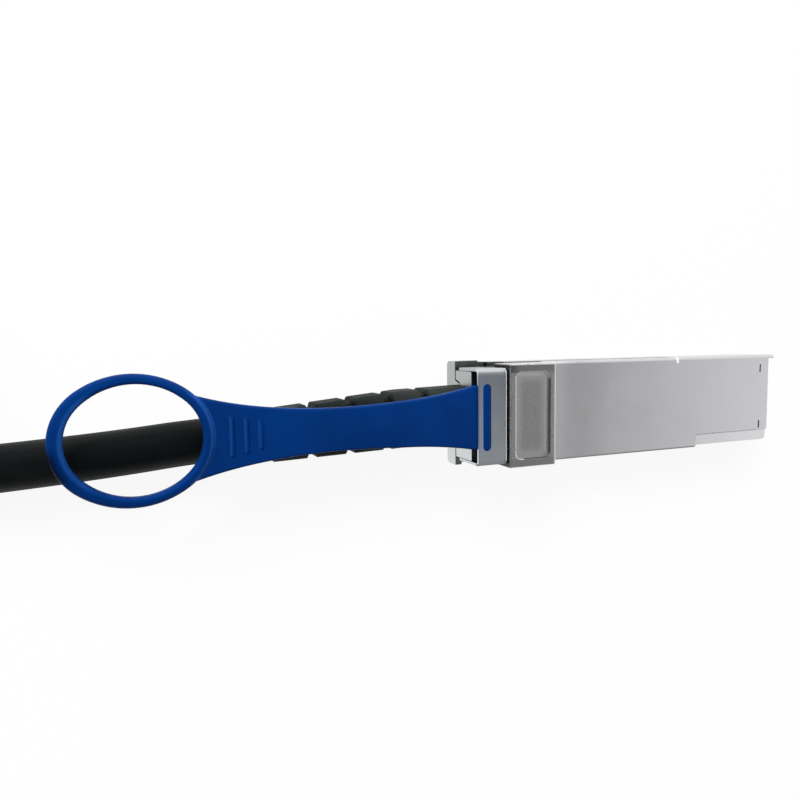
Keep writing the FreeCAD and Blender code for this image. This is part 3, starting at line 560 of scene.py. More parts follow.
# Cover plate in front of the shoulder
SCRATCHES = (0.00012, 2.0, (34, 1, 6))
SCRATCH_LEVELS = (0.66, 0.72, 0.0, 0.3)
PATCH_LEVELS = (0.38, 0.6, 0.1, 0.75)
PATCH_X = (0.0070, 0.0120, 0.0035)
PATCH_Y = (-0.003, 0.006, 0.8, 1.3)
FRONT_STRIP_X = (0.0, 0.0045, 0.0018)
FRONT_STRIP_Z = (0.0080, 0.0083)
LEDGE_X = (0.0366, 0.0562)
LEDGE_Y = (-0.0066, -0.0068)
LEDGE_Z = (0.0078, 0.0080)
LEDGE_FOOT_X = (0.0368, 0.0535)
LEDGE_FOOT_Y = (-0.00668, -0.00645, 0.00004)
PLATING_DARK = (0.72, 0.72, 0.74)
PLATING_PALE = (0.76, 0.76, 0.785)
PLATING_LIGHTER = (0.85, 0.85, 0.875)
# Tone of the darker patch, also used for the painted shade at the foot of the key ledge's step
PLATING_PATCH_AND_SHADE = (0.58, 0.58, 0.59)
PLATING_SCRATCH = (0.55, 0.55, 0.56)


def cover_plating(finish, haze):
    """Satin plating of the cover: faint scratches, a darker patch, a lighter strip and a lighter key
    ledge, with painted shade along the foot of the ledge's step.
    """
    scratches = finish.noise(*SCRATCHES)
    plain = finish.blend(finish.levels(haze, *CLOUDS), PLATING_DARK, PLATING_PALE)
    plain = finish.blend(finish.levels(scratches, *SCRATCH_LEVELS), plain, PLATING_SCRATCH)
    dark_patch = finish.meet(finish.levels(haze, *PATCH_LEVELS), finish.within("X", *PATCH_X),
                          finish.beyond("Y", *PATCH_Y))
    plain = finish.blend(dark_patch, plain, PLATING_PATCH_AND_SHADE)
    front_strip = finish.meet(finish.within("X", *FRONT_STRIP_X), finish.beyond("Z", *FRONT_STRIP_Z))
    above = finish.beyond("Z", *LEDGE_Z)
    ledge = finish.meet(finish.within("X", *LEDGE_X), finish.beyond("Y", *LEDGE_Y), above)
    plain = finish.blend(finish.either(front_strip, ledge), plain, PLATING_LIGHTER)
    # Painted shade: a dark line along the foot of the key ledge's step.
    foot = finish.meet(finish.within("X", *LEDGE_FOOT_X), finish.within("Y", *LEDGE_FOOT_Y), above)
    return finish.blend(foot, plain, PLATING_PATCH_AND_SHADE)


# Top of the shoulder with its sunken panel
SAND_LEVELS = (0.32, 0.68)
FAR_CORNER_X = (-0.0092, -0.0070)
FAR_STRIP_Y = (0.0073, 0.0077)
NEAR_STRIP_Y = (-0.0073, -0.0077)
PANEL_Z = (0.01235, 0.01225)
PANEL_MIDDLE_X = (-0.0070, -0.0026, 0.0009)
PANEL_MIDDLE_Y = (-0.0062, 0.0062, 0.0011)
FAR_BAND_Y = (0.0066, 0.0074)
FRONT_FOOT_X = (-0.0022, -0.0016)
RIM_TOP_Z = (0.0124, 0.0125)
REAR_RIM_X = (-0.00828, -0.0078, 0.00005)
REAR_RIM_Y = (-0.0072, 0.0068, 0.0004)
FAR_RIM_X = (-0.0074, -0.0019, 0.0004)
FAR_RIM_Y = (0.0074, 0.00768)
FRONT_EDGE_X = (-0.00045, 0.0003, 0.00008)
# Tones of the blasted top; the ones after them are painted shade along its sides and painted highlights
# on its panel
SAND_DARK = (0.365, 0.365, 0.373)
SAND_PALE = (0.535, 0.535, 0.545)
FAR_CORNER_TONE = (0.16, 0.16, 0.163)
FAR_STRIP_TONE = (0.32, 0.32, 0.326)
NEAR_STRIP_TONE = (0.37, 0.37, 0.376)
PANEL_BORDER_TONE = (0.68, 0.68, 0.685)
PANEL_BORDER_SHARE = 0.75
FAR_BAND_TONE = (0.82, 0.82, 0.825)
FAR_BAND_SHARE = 0.8
FRONT_FOOT_TONE = (0.97, 0.97, 0.975)
RIM_TONE = (0.93, 0.93, 0.94)
THIN_RIM_SHARE = 0.65


def shoulder_top(finish, sand):
    """Blasted top of the shoulder, with painted shade along its sides and painted highlights on the
    border, far band, front foot and rims of its sunken panel and along its front edge.
    """
    shoulder_colour = finish.blend(finish.levels(sand, *SAND_LEVELS), SAND_DARK, SAND_PALE)
    # Painted shade along the far and the near side, darkest towards the far rear corner.
    strip = finish.blend(finish.beyond("X", *FAR_CORNER_X), FAR_CORNER_TONE, FAR_STRIP_TONE)
    shoulder_colour = finish.blend(finish.beyond("Y", *FAR_STRIP_Y), shoulder_colour, strip)
    shoulder_colour = finish.blend(finish.beyond("Y", *NEAR_STRIP_Y), shoulder_colour, NEAR_STRIP_TONE)
    # Painted highlights in the sunken panel: its border, a band along its far side and its front foot.
    sunken = finish.beyond("Z", *PANEL_Z)
    middle = finish.meet(finish.within("X", *PANEL_MIDDLE_X), finish.within("Y", *PANEL_MIDDLE_Y))
    border = finish.meet(sunken, finish.combine(1.0, middle, "SUBTRACT"), PANEL_BORDER_SHARE)
    shoulder_colour = finish.blend(border, shoulder_colour, PANEL_BORDER_TONE)
    band = finish.meet(sunken, finish.beyond("Y", *FAR_BAND_Y), FAR_BAND_SHARE)
    shoulder_colour = finish.blend(band, shoulder_colour, FAR_BAND_TONE)
    foot = finish.meet(sunken, finish.beyond("X", *FRONT_FOOT_X))
    shoulder_colour = finish.blend(foot, shoulder_colour, FRONT_FOOT_TONE)
    # Painted highlights on the panel's rear and far rims and on the shoulder's front edge.
    rear_rim = finish.meet(finish.within("X", *REAR_RIM_X), finish.within("Y", *REAR_RIM_Y))
    far_rim = finish.meet(finish.within("Y", *FAR_RIM_Y), finish.within("X", *FAR_RIM_X))
    thin = finish.meet(finish.either(far_rim, finish.within("X", *FRONT_EDGE_X)), THIN_RIM_SHARE)
    rims = finish.meet(finish.beyond("Z", *RIM_TOP_Z), finish.either(rear_rim, thin))
    return finish.blend(rims, shoulder_colour, RIM_TONE)


# Walls of the panel and rear face of the shoulder
WALL_Z = (0.0122, 0.0127, 0.00002)
FRONT_WALL_X = (-0.0026, -0.0009)
FRONT_WALL_Y = (-0.0074, 0.0064, 0.0003)
FRONT_WALL_TURN = (-0.25, -0.5)
NEAR_WALL_X = (-0.0066, -0.0009, 0.0005)
NEAR_WALL_Y = (-0.0080, -0.0073)
NEAR_WALL_TURN = (0.2, 0.4)
REAR_FACE_X = (-0.0096, -0.0091)
REAR_FACE_Z = (0.0034, 0.0036)
REAR_FACE_TURN = (-0.65, -0.9)
# Tones of the painted shade
FRONT_WALL_TONE = (0.17, 0.17, 0.172)
NEAR_WALL_TONE = (0.15, 0.15, 0.152)
REAR_FACE_TONE = (0.05, 0.052, 0.052)


def shoulder_shade(finish, metal):
    """Painted shade on two walls of the shoulder's panel and on its rear face."""
    height = finish.within("Z", *WALL_Z)
    front = finish.meet(finish.within("X", *FRONT_WALL_X), finish.within("Y", *FRONT_WALL_Y), height,
                        finish.turned("X", *FRONT_WALL_TURN))
    metal = finish.blend(front, metal, FRONT_WALL_TONE)
    near = finish.meet(finish.within("X", *NEAR_WALL_X), finish.within("Y", *NEAR_WALL_Y), height,
                       finish.turned("Y", *NEAR_WALL_TURN))
    metal = finish.blend(near, metal, NEAR_WALL_TONE)
    behind = finish.meet(finish.within("X", *REAR_FACE_X), finish.beyond("Z", *REAR_FACE_Z),
                         finish.turned("X", *REAR_FACE_TURN))
    return finish.blend(behind, metal, REAR_FACE_TONE)


# Painted shade along the slider's track, in corners, and in a dark line along the cover's near border
TRACK_X = (-0.0152, -0.0060)
TRACK_Z = (0.0020, 0.00845)
TRACK_TURN = (-0.7, -0.3)
CORNER_SHADE_X = (0.0540, 0.0530)
CORNER_SHADE_Y = (0.0085, 0.0079)
CORNER_SHADE_Z = (0.0121, 0.0119)
CORNER_SHADE_REACH = 0.0004
CORNER_SHADE_LEVELS = (0.45, 0.75)
NEAR_BORDER_X = (0.0002, 0.0365)
NEAR_BORDER_Y = (-0.00878, -0.00895)
NEAR_BORDER_Z = (0.0070, 0.0078)
TRACK_TONE = (0.26, 0.267, 0.264)
CORNER_SHADE_TONE = (0.06, 0.06, 0.06)
NEAR_BORDER_TONE = (0.11, 0.11, 0.113)


def dark_lines(finish, metal):
    """Painted shade along the slider's track, in corners and in a dark line along the cover's near
    border.
    """
    # Painted shade on the casting beside the slider's track.
    track = finish.meet(finish.within("X", *TRACK_X), finish.within("Z", *TRACK_Z),
                        finish.turned("X", *TRACK_TURN))
    metal = finish.blend(track, metal, TRACK_TONE)
    # Painted shade deep in corners.
    corner_shade = finish.meet(finish.crevice(CORNER_SHADE_REACH, *CORNER_SHADE_LEVELS), finish.beyond("Y", *CORNER_SHADE_Y),
                        finish.beyond("Z", *CORNER_SHADE_Z), finish.beyond("X", *CORNER_SHADE_X))
    metal = finish.blend(corner_shade, metal, CORNER_SHADE_TONE)
    # Painted shade: a dark line along the cover's near border.
    border = finish.meet(finish.within("X", *NEAR_BORDER_X), finish.beyond("Y", *NEAR_BORDER_Y),
                         finish.beyond("Z", *NEAR_BORDER_Z))
    return finish.blend(border, metal, NEAR_BORDER_TONE)


# Shells as a whole, with painted shade and light on the casting behind the shoulder and a painted
# highlight beside the nick
SHELL_BEVEL = 0.00014
HAZE = (0.009, 3.0)
SHELL_GRAIN = (0.00022, 4.0)
SHELL_GRAIN_DEPTH = 0.000004
SAND = (0.0002, 4.0)
SAND_DEPTH = 0.00002
WEAR_AND_HIGHLIGHT_LEVELS = (0.3, 0.55)
SHOULDER_X = (-0.0098, 0.00015)
SHOULDER_Z = (0.0086, 0.0090)
SHOULDER_TURN = (0.25, 0.5)
ROUNDING_Z = (0.01246, 0.0127, 0.00002)
CASTING_X = (-0.0165, -0.0092, 0.0002)
CASTING_Y = (0.005, -0.005)
NICK_HIGHLIGHT_X = (0.0311, 0.0317, 0.00003)
NICK_HIGHLIGHT_Y = (0.0078, 0.0081)
NICK_HIGHLIGHT_Z = (0.0081, 0.00849, 0.00001)
# Rear casting's tone on the far side, with painted shade, and on the near side, with painted light
CASTING_FAR_SHADED = (0.42, 0.445, 0.437)
CASTING_NEAR_LIT = (0.67, 0.71, 0.695)
WEAR_AND_HIGHLIGHT_TONE = (0.88, 0.88, 0.90)
NICK_HIGHLIGHT_TONE = (0.84, 0.84, 0.84)
PLATING_ROUGHNESS = (0.25, 0.31)
BLAST_ROUGHNESS = 0.18


def cast_plate():
    """Die-cast shell: satin plating and a blasted shoulder top, with edges that are worn and carry a
    painted highlight, painted shade along the slider, in corners and on the shoulder, and a painted
    highlight beside the nick.
    """
    finish = Finish("cast_plate", Metallic=1.0)
    soft = finish.softened(SHELL_BEVEL)
    haze = finish.noise(*HAZE)
    grain = finish.noise(*SHELL_GRAIN)
    sand = finish.noise(*SAND)
    blasted = finish.meet(finish.within("X", *SHOULDER_X), finish.beyond("Z", *SHOULDER_Z),
                          finish.turned("Z", *SHOULDER_TURN))
    rounding = finish.meet(blasted, finish.within("Z", *ROUNDING_Z))
    # Painted shade and light: the rear casting darker towards the far side and paler towards the near
    # side.
    casting = finish.blend(finish.beyond("Y", *CASTING_Y), CASTING_FAR_SHADED, CASTING_NEAR_LIT)
    metal = finish.blend(finish.within("X", *CASTING_X), cover_plating(finish, haze), casting)
    metal = finish.blend(blasted, metal, shoulder_top(finish, sand))
    # Edges pale, partly wear and partly painted highlight, also along the rounding of the shoulder's
    # top.
    worn = finish.meet(finish.either(rounding, finish.edge(soft)), finish.levels(sand, *WEAR_AND_HIGHLIGHT_LEVELS))
    metal = finish.blend(worn, metal, WEAR_AND_HIGHLIGHT_TONE)
    metal = dark_lines(finish, shoulder_shade(finish, metal))
    # Painted highlight: a pale tick beside the nick on the far edge.
    nick_highlight = finish.meet(finish.within("X", *NICK_HIGHLIGHT_X), finish.beyond("Y", *NICK_HIGHLIGHT_Y),
                       finish.within("Z", *NICK_HIGHLIGHT_Z))
    finish.non_metallic(nick_highlight)
    finish.colour(finish.blend(nick_highlight, metal, NICK_HIGHLIGHT_TONE))
    flat = finish.combine(blasted, rounding, "SUBTRACT")
    finish.roughness(finish.combine(finish.levels(haze, *CLOUDS, *PLATING_ROUGHNESS),
                                    finish.combine(flat, BLAST_ROUGHNESS), "ADD"))
    fine = finish.relief(grain, SHELL_GRAIN_DEPTH, soft)
    finish.relief(finish.combine(sand, blasted), SAND_DEPTH, fine)
    return finish.material


# Large plug's slider: its rear end, its two sides, the bends of its web and its front edge
SHEET_BEVEL = 0.0001
ROLLING_GRAIN = (0.00014, 3.0, (1, 18, 1))
ROLLING_DEPTH = 0.0000006
TINT = (0.006, 2.0)
TINT_LEVELS = (0.35, 0.65)
HEATED_X = (-0.0160, -0.0138, 0.0012)
HEATED_TURN = (0.6, 0.95)
FAR_SIDE_Y = (-0.002, 0.008, 0.0, 0.42)
NEAR_SIDE_Y = (-0.002, -0.0078, 0.0, 0.85)
WEB_Z = (0.0110, 0.0112)
FAR_BEND_Y = (0.0069, 0.0077)
NEAR_BEND_Y = (-0.0077, -0.0082)
SHEET_FRONT_X = (-0.0098, -0.0094, 0.00006)
SHEET_FRONT_Z = (0.0105, 0.0110)
FILM_BLUE = (0.51, 0.57, 0.64)
FILM_GREY = (0.56, 0.60, 0.63)
FILM_HEATED = (0.52, 0.62, 0.85)
# Tones of the painted shade and light on the sheet's sides, bends and edges
SHEET_FAR_SHADE = (0.30, 0.32, 0.345)
SHEET_NEAR_LIGHT = (0.66, 0.70, 0.74)
SHEET_EDGE_HIGHLIGHT = (0.72, 0.74, 0.76)
FAR_BEND_TONE = (0.67, 0.70, 0.72)
NEAR_BEND_TONE = (0.10, 0.107, 0.113)
SHEET_FRONT_TONE = (0.68, 0.70, 0.72)
SHEET_ROUGHNESS = (0.28, 0.32)


def stamped_sheet():
    """Stamped sheet with a thin bluish passivation and a faint rolling grain, and painted shade and
    highlights on its sides, bends and edges.
    """
    finish = Finish("stamped_sheet", Metallic=1.0)
    soft = finish.softened(SHEET_BEVEL)
    grain = finish.noise(*ROLLING_GRAIN)
    tint = finish.noise(*TINT)
    sheet_colour = finish.blend(finish.levels(tint, *TINT_LEVELS), FILM_BLUE, FILM_GREY)
    heated = finish.meet(finish.within("X", *HEATED_X), finish.turned("Z", *HEATED_TURN))
    sheet_colour = finish.blend(heated, sheet_colour, FILM_HEATED)
    # Painted shade towards the far side and painted light towards the near side.
    sheet_colour = finish.blend(finish.beyond("Y", *FAR_SIDE_Y), sheet_colour, SHEET_FAR_SHADE)
    sheet_colour = finish.blend(finish.beyond("Y", *NEAR_SIDE_Y), sheet_colour, SHEET_NEAR_LIGHT)
    # Painted highlight on edges.
    sheet_colour = finish.blend(finish.edge(soft), sheet_colour, SHEET_EDGE_HIGHLIGHT)
    web = finish.beyond("Z", *WEB_Z)
    # Painted highlight on the web's far bend and painted shade on its near bend.
    sheet_colour = finish.blend(finish.meet(web, finish.beyond("Y", *FAR_BEND_Y)), sheet_colour, FAR_BEND_TONE)
    sheet_colour = finish.blend(finish.meet(web, finish.beyond("Y", *NEAR_BEND_Y)), sheet_colour, NEAR_BEND_TONE)
    # Painted highlight on the front edge.
    front = finish.meet(finish.within("X", *SHEET_FRONT_X), finish.beyond("Z", *SHEET_FRONT_Z))
    finish.non_metallic(front)
    finish.colour(finish.blend(front, sheet_colour, SHEET_FRONT_TONE))
    finish.roughness(finish.levels(grain, *CLOUDS, *SHEET_ROUGHNESS))
    finish.relief(grain, ROLLING_DEPTH, soft)
    return finish.material


# Pull tab: its middle across and the radius of its rounded back; the axes of the ring's root and of
# its far end, with the distances from them of the painted highlight lines and of the flank with painted
# shade; X and half length of the painted highlight line on each grip rib
TAB_MIDDLE = -0.0004
TAB_CROWN_R = 0.045
ROOT_AXIS = (-0.0674, -0.0003, 0.0)
ROOT_LINE = (0.0083, 0.0090)
ROOT_FADE = 0.00015
ROOT_X = (-0.0632, -0.0612)
END_AXIS = (-0.0715, -0.0003, 0.0)
END_LINE = (0.0081, 0.0076)
END_X = (-0.0745, -0.0765)
END_Y = (-0.0004, -0.0055, 1.0, 0.5)
FLANK_R = (0.0074, 0.0093)
FLANK_Y = (-0.0056, -0.0012, 0.0012)
GRIP_LINES = ((-0.0563, 0.00295), (-0.05415, 0.0025), (-0.05205, 0.00205))
GRIP_HALF_W = 0.00016
GRIP_SIDE_FADE = 0.00012
GRIP_END_FADE = 0.0004
GRIP_SHARE = 0.7
TAB_TOP_Z = (0.0109, 0.0112)
DYE_DARK = (0.0, 0.0235, 0.135)
DYE_PALE = (0.0, 0.029, 0.165)
DYE_HIGHLIGHT = (0.007, 0.062, 0.27)
DYE_SHADE = (0.0, 0.0035, 0.018)
DYE_CLOUDS = (0.009, 2.0)
MOULD_BEVEL = 0.0001
MOULD_GRAIN = (0.0003, 4.0)
MOULD_DEPTH = 0.000008
MOULD_ROUGHNESS = (0.38, 0.46)


def tab_highlights(finish):
    """Share that is 1 on painted highlight lines, along both ends of the tab's ring and on its grip
    ribs.
    """
    radius = finish.off_axis(ROOT_AXIS)
    near, far = ROOT_LINE
    root = finish.meet(finish.levels(radius, near - ROOT_FADE, near + ROOT_FADE),
                       finish.levels(radius, far + ROOT_FADE, far - ROOT_FADE),
                       finish.beyond("X", *ROOT_X))
    end = finish.meet(finish.levels(finish.off_axis(END_AXIS), *END_LINE), finish.beyond("X", *END_X),
                      finish.beyond("Y", *END_Y))
    lines = finish.either(root, end)
    for x, half in GRIP_LINES:
        grip = finish.meet(finish.within("X", x - GRIP_HALF_W, x + GRIP_HALF_W, GRIP_SIDE_FADE),
                           finish.within("Y", TAB_MIDDLE - half, TAB_MIDDLE + half, GRIP_END_FADE),
                           GRIP_SHARE)
        lines = finish.either(lines, grip)
    return finish.meet(lines, finish.beyond("Z", *TAB_TOP_Z))


def shaded_flank(finish):
    """Share that is 1 on the outer flank of the ring's far end, above the cable, where shade is painted.
    """
    return finish.meet(finish.levels(finish.off_axis(END_AXIS), *FLANK_R), finish.within("Y", *FLANK_Y),
                       finish.beyond("X", *END_X))


def moulded_blue(name, tab=False):
    """Dyed soft plastic with a fine mould texture and painted highlights on its edges; the pull tab has
    a rounded back, painted highlight lines and painted shade on its ring's flank.
    """
    finish = Finish(name, Specular_IOR_Level=0.07)
    clouds = finish.noise(*DYE_CLOUDS)
    grain = finish.noise(*MOULD_GRAIN)
    base = finish.softened(MOULD_BEVEL)
    plastic_colour = finish.blend(finish.levels(clouds, *CLOUDS), DYE_DARK, DYE_PALE)
    # Painted highlight on edges; on the pull tab, painted highlight lines take their place.
    pale = finish.edge(base)
    if tab:
        pale = tab_highlights(finish)
        # Painted shade on the ring's outer flank above the cable.
        plastic_colour = finish.blend(shaded_flank(finish), plastic_colour, DYE_SHADE)
        across = finish.combine(finish.along("Y"), TAB_MIDDLE, "SUBTRACT")
        crown = finish.combine(finish.combine(across, across), -0.5 / TAB_CROWN_R)
        base = finish.relief(crown, 1.0)
    finish.colour(finish.blend(pale, plastic_colour, DYE_HIGHLIGHT))
    finish.roughness(finish.levels(grain, *CLOUDS, *MOULD_ROUGHNESS))
    finish.relief(grain, MOULD_DEPTH, base)
    return finish.material


# Rubber of the boots and the splitter, with painted light on a stretch of the large plug's boot and
# painted shade in gaps
RUBBER_BEVEL = 0.0002
DUST = (0.003, 4.0)
DUST_LEVELS = (0.3, 0.75)
RUBBER_GRAIN = (0.0002, 4.0)
RUBBER_DEPTH = 0.000012
RUBBER_ROUGHNESS = (0.5, 0.66)
GAP_SHADE_REACH = 0.0018
GAP_SHADE_LEVELS = (0.5, 0.9)
LIT_STRETCH_X = (-0.0290, -0.0160, 0.0080)
RUBBER_DARK = (0.006, 0.0092, 0.0088)
RUBBER_PALE = (0.0125, 0.0172, 0.0163)
RUBBER_LIT = (0.025, 0.031, 0.0295)
RUBBER_GAP_SHADE = (0.001, 0.0014, 0.0014)


def boot_rubber():
    """Moulded black rubber with a dull, dusty grain, painted light on a stretch of the large plug's boot
    and painted shade in gaps.
    """
    finish = Finish("boot_rubber", Specular_IOR_Level=0.05)
    soft = finish.softened(RUBBER_BEVEL)
    dust = finish.noise(*DUST)
    grain = finish.noise(*RUBBER_GRAIN)
    dull = finish.blend(finish.levels(dust, *DUST_LEVELS), RUBBER_DARK, RUBBER_PALE)
    # Painted light: paler on the stretch of the large plug's boot next to the plug, where the strap and
    # the plug shade it.
    dull = finish.blend(finish.within("X", *LIT_STRETCH_X), dull, RUBBER_LIT)
    # Painted shade deep in the gaps between the boot's segments.
    finish.colour(finish.blend(finish.crevice(GAP_SHADE_REACH, *GAP_SHADE_LEVELS), dull, RUBBER_GAP_SHADE))
    finish.roughness(finish.levels(grain, *CLOUDS, *RUBBER_ROUGHNESS))
    finish.relief(grain, RUBBER_DEPTH, soft)
    return finish.material


# Jacket of the cords; its tones, like those below, are the dark and the pale one
VINYL = ((0.0016, 0.0029, 0.0032), (0.0046, 0.0066, 0.0066))
SCUFFS = (0.0035, 5.0, (3, 1, 1))
SCUFF_LEVELS = (0.45, 0.8)
VINYL_GRAIN = (0.00018, 4.0)
VINYL_DEPTH = 0.000008
VINYL_ROUGHNESS = (0.3, 0.8, 0.5, 0.62)


def cable_jacket():
    """Black vinyl jacket, matt, with faint scuffs along it."""
    finish = Finish("cable_jacket", Specular_IOR_Level=0.16)
    scuffs = finish.noise(*SCUFFS)
    grain = finish.noise(*VINYL_GRAIN)
    finish.colour(finish.blend(finish.levels(scuffs, *SCUFF_LEVELS), *VINYL))
    finish.roughness(finish.levels(scuffs, *VINYL_ROUGHNESS))
    finish.relief(grain, VINYL_DEPTH)
    return finish.material


# Tie round the legs
FELT = ((0.006, 0.006, 0.007), (0.022, 0.022, 0.024))
FIBRES = (0.0004, 6.0)
FIBRE_LEVELS = (0.35, 0.65)
FIBRE_DEPTH = 0.00012
WEAVE = (0.0003, 2.0, (1, 1, 6))
WEAVE_DEPTH = 0.00006


def tie_felt():
    """Hook-and-loop strap: short black fibres on a woven back."""
    finish = Finish("tie_felt", Roughness=0.9, Specular_IOR_Level=0.1, Sheen_Weight=0.4,
                    Sheen_Roughness=0.5)
    fibres = finish.noise(*FIBRES)
    weave = finish.noise(*WEAVE)
    finish.colour(finish.blend(finish.levels(fibres, *FIBRE_LEVELS), *FELT))
    woven = finish.relief(weave, WEAVE_DEPTH)
    finish.relief(fibres, FIBRE_DEPTH, woven)
    return finish.material


# Boards
SOLDER_MASK = ((0.006, 0.075, 0.03), (0.014, 0.12, 0.05))
TRACES = (0.0006, 1.0, (14, 1, 1))
TRACE_LEVELS = (0.52, 0.56)
TRACE_DEPTH = 0.00002


def circuit_board():
    """Green solder mask over faint traces that run to the edge contacts."""
    finish = Finish("circuit_board", Roughness=0.3)
    copper = finish.levels(finish.noise(*TRACES), *TRACE_LEVELS)
    finish.colour(finish.blend(copper, *SOLDER_MASK))
    finish.relief(copper, TRACE_DEPTH)
    return finish.material


# Screws
SCREW_BLACK = ((0.20, 0.20, 0.205), (0.28, 0.28, 0.285))
SCREW_EDGE = (0.6, 0.6, 0.61)
SCREW_BEVEL = 0.00006
TURNING = (0.0003, 3.0)
TURNING_DEPTH = 0.000004
SCREW_ROUGHNESS = (0.3, 0.42)


def screw_steel():
    """Turned and blackened screw steel, worn brighter at the edges."""
    finish = Finish("screw_steel", Metallic=1.0)
    soft = finish.softened(SCREW_BEVEL)
    turning = finish.noise(*TURNING)
    dark = finish.blend(finish.levels(turning, *CLOUDS), *SCREW_BLACK)
    finish.colour(finish.blend(finish.edge(soft), dark, SCREW_EDGE))
    finish.roughness(finish.levels(turning, *CLOUDS, *SCREW_ROUGHNESS))
    finish.relief(turning, TURNING_DEPTH, soft)
    return finish.material


# Drawn or plated metals: how metallic, size of the grain and its stretch along X, dark and pale tone,
# least and greatest roughness, depth of the relief
DRAWN_METALS = {
    "contact_gold": (1.0, 0.00006, 20, ((0.78, 0.56, 0.22), (0.86, 0.65, 0.30)), (0.2, 0.32), 0.000002),
    "pair_foil": (0.7, 0.0008, 3, ((0.42, 0.36, 0.3), (0.6, 0.5, 0.42)), (0.3, 0.5), 0.00004),
    "crimp_brass": (1.0, 0.0002, 8, ((0.62, 0.45, 0.2), (0.72, 0.55, 0.28)), (0.25, 0.38), 0.000006),
}
DRAWN_DETAIL = 3.0


def drawn_metal(name):
    """Gold plating with wipe marks, creased foil or a drawn brass sleeve, all with a grain along X."""
    metallic, size, stretch, tones, rough, depth = DRAWN_METALS[name]
    finish = Finish(name, Metallic=metallic)
    grain = finish.noise(size, DRAWN_DETAIL, (stretch, 1, 1))
    finish.colour(finish.blend(finish.levels(grain, *CLOUDS), *tones))
    finish.roughness(finish.levels(grain, *CLOUDS, *rough))
    finish.relief(grain, depth)
    return finish.material


def dress_nodes(sheet, jacket):
    """A finish for every solid of the frame."""
    slots = {
        "cast_zinc": cast_plate(),
        "stamped_steel": sheet,
        "tab_plastic": moulded_blue("slider_blue"),
        "boot_rubber": boot_rubber(),
        "jacket": jacket,
        "board": circuit_board(),
        "pair_insulation": drawn_metal("pair_foil"),
        "crimp_brass": drawn_metal("crimp_brass"),
    }
    own = {"pull_tab": moulded_blue("tab_blue", tab=True), "leg_tie": tie_felt()}
    for part in frame["record"]["subparts"]:
        mesh = nodes[part["node"]].data
        mesh.materials.clear()
        mesh.materials.append(own.get(part["node"], slots[part["material_slot"]]))


# Studio
FLOOR_HALF = 30.0
FLOOR_DROP = 0.00005
FLOOR_GREY = 0.95
FLOOR_ROUGHNESS = 0.9
SHADOW_SHARE = 0.09
# Grey of the dome by the sine of its height, on the lit side and on the side across from it
LIT_SIDE = ((0.0, 0.95), (0.62, 0.95), (0.70, 0.68), (0.78, 0.42), (0.85, 0.28), (1.0, 0.25))
DIM_SIDE = ((0.0, 0.6), (0.35, 0.5), (0.55, 0.2), (0.8, 0.2), (1.0, 0.25))
LIT_FROM = (0.45, 0.893, 0.0)
# How far towards the lit side the dome changes from the one to the other
SIDE_CHANGE = (-0.35, 0.1)
DOME_STRENGTH = 1.0
KEY_PLACE = (-0.42, 0.66, 0.55)
KEY_TARGET = (-0.02, 0.0, 0.0)
KEY_SIZE = (0.6, 0.4)
KEY_WATTS = 10.0


def pale_floor():
    """White floor that keeps a faint shadow."""
    corners = ((-1, -1), (1, -1), (1, 1), (-1, 1))
    mesh = bpy.data.meshes.new("floor")
    mesh.from_pydata([(x * FLOOR_HALF, y * FLOOR_HALF, -FLOOR_DROP) for x, y in corners],
                     [], [(0, 1, 2, 3)])
    floor = bpy.data.objects.new("floor", mesh)
    bpy.context.scene.collection.objects.link(floor)
    finish = Finish("floor_white", Base_Color=(FLOOR_GREY, FLOOR_GREY, FLOOR_GREY, 1.0),
                    Roughness=FLOOR_ROUGHNESS)
    tree = finish.tree
    paths = tree.nodes.new("ShaderNodeLightPath").outputs
    seen = finish.either(finish.either(paths["Is Camera Ray"], paths["Is Glossy Ray"]),
                         paths["Is Transmission Ray"])
    white = tree.nodes.new("ShaderNodeEmission")
    mix = tree.nodes.new("ShaderNodeMixShader")
    finish.link(finish.combine(seen, 1.0 - SHADOW_SHARE), mix.inputs["Fac"])
    finish.link(finish.shader.outputs["BSDF"], mix.inputs[1])
    finish.link(white.outputs["Emission"], mix.inputs[2])
    finish.link(mix.outputs["Shader"], tree.nodes["Material Output"].inputs["Surface"])
    mesh.materials.append(finish.material)


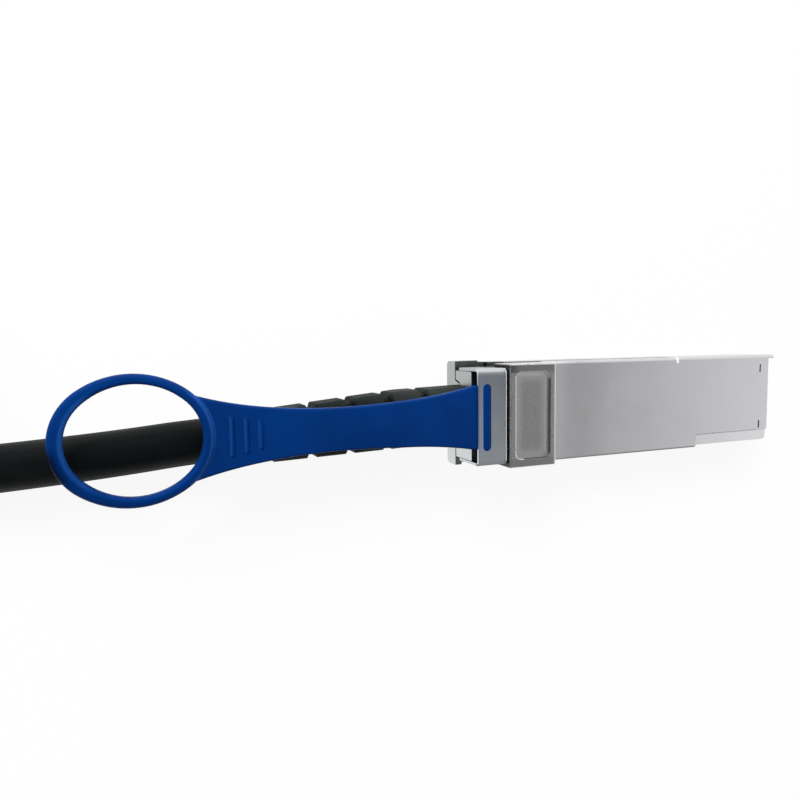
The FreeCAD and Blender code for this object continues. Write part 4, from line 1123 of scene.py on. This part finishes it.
def studio_dome():
    """Light tent, grey overhead and dim on one side, so that flat metal shades off towards its edges."""
    world = bpy.data.worlds.new("studio")
    bpy.context.scene.world = world
    world.use_nodes = True
    tree = world.node_tree
    direction = tree.nodes.new("ShaderNodeTexCoord").outputs["Generated"]
    height = tree.nodes.new("ShaderNodeSeparateXYZ")
    tree.links.new(direction, height.inputs["Vector"])
    side = tree.nodes.new("ShaderNodeVectorMath")
    side.operation = "DOT_PRODUCT"
    side.inputs[1].default_value = LIT_FROM
    tree.links.new(direction, side.inputs[0])
    share = tree.nodes.new("ShaderNodeMapRange")
    share.interpolation_type = "SMOOTHSTEP"
    for socket, limit in zip(("From Min", "From Max"), SIDE_CHANGE):
        share.inputs[socket].default_value = limit
    tree.links.new(side.outputs["Value"], share.inputs["Value"])
    mix = tree.nodes.new("ShaderNodeMix")
    mix.data_type = "RGBA"
    tree.links.new(share.outputs["Result"], mix.inputs["Factor"])
    for socket, stops in ((MIX_FIRST, DIM_SIDE), (MIX_SECOND, LIT_SIDE)):
        ramp = tree.nodes.new("ShaderNodeValToRGB")
        elements = ramp.color_ramp.elements
        while len(elements) < len(stops):
            elements.new(0.5)
        for element, (place, grey) in zip(elements, stops):
            element.position = place
            element.color = (grey, grey, grey, 1.0)
        tree.links.new(height.outputs["Z"], ramp.inputs["Fac"])
        tree.links.new(ramp.outputs["Color"], mix.inputs[socket])
    background = tree.nodes["Background"]
    background.inputs["Strength"].default_value = DOME_STRENGTH
    tree.links.new(mix.outputs[MIX_RESULT], background.inputs["Color"])


def key_lamp():
    """Softbox that lights dull surfaces; what metal mirrors is the dome."""
    data = bpy.data.lights.new("key", "AREA")
    data.shape = "RECTANGLE"
    data.size, data.size_y = KEY_SIZE
    data.energy = KEY_WATTS
    lamp = bpy.data.objects.new("key", data)
    bpy.context.scene.collection.objects.link(lamp)
    lamp.visible_glossy = False
    lamp.location = KEY_PLACE
    lamp.rotation_mode = "QUATERNION"
    lamp.rotation_quaternion = (Vector(KEY_TARGET) - Vector(KEY_PLACE)).to_track_quat("-Z", "Y")


def light_studio():
    bpy.context.scene.view_settings.view_transform = "Standard"
    studio_dome()
    pale_floor()
    key_lamp()


make_camera()
sheet_finish = stamped_sheet()
jacket_finish = cable_jacket()
contact_rows = plate_contacts(drawn_metal("contact_gold"))
fit_springs(sheet_finish)
lay_cords(jacket_finish, contact_rows)
seat_screws(screw_steel())
dress_nodes(sheet_finish, jacket_finish)
light_studio()
bpy.context.view_layer.update()
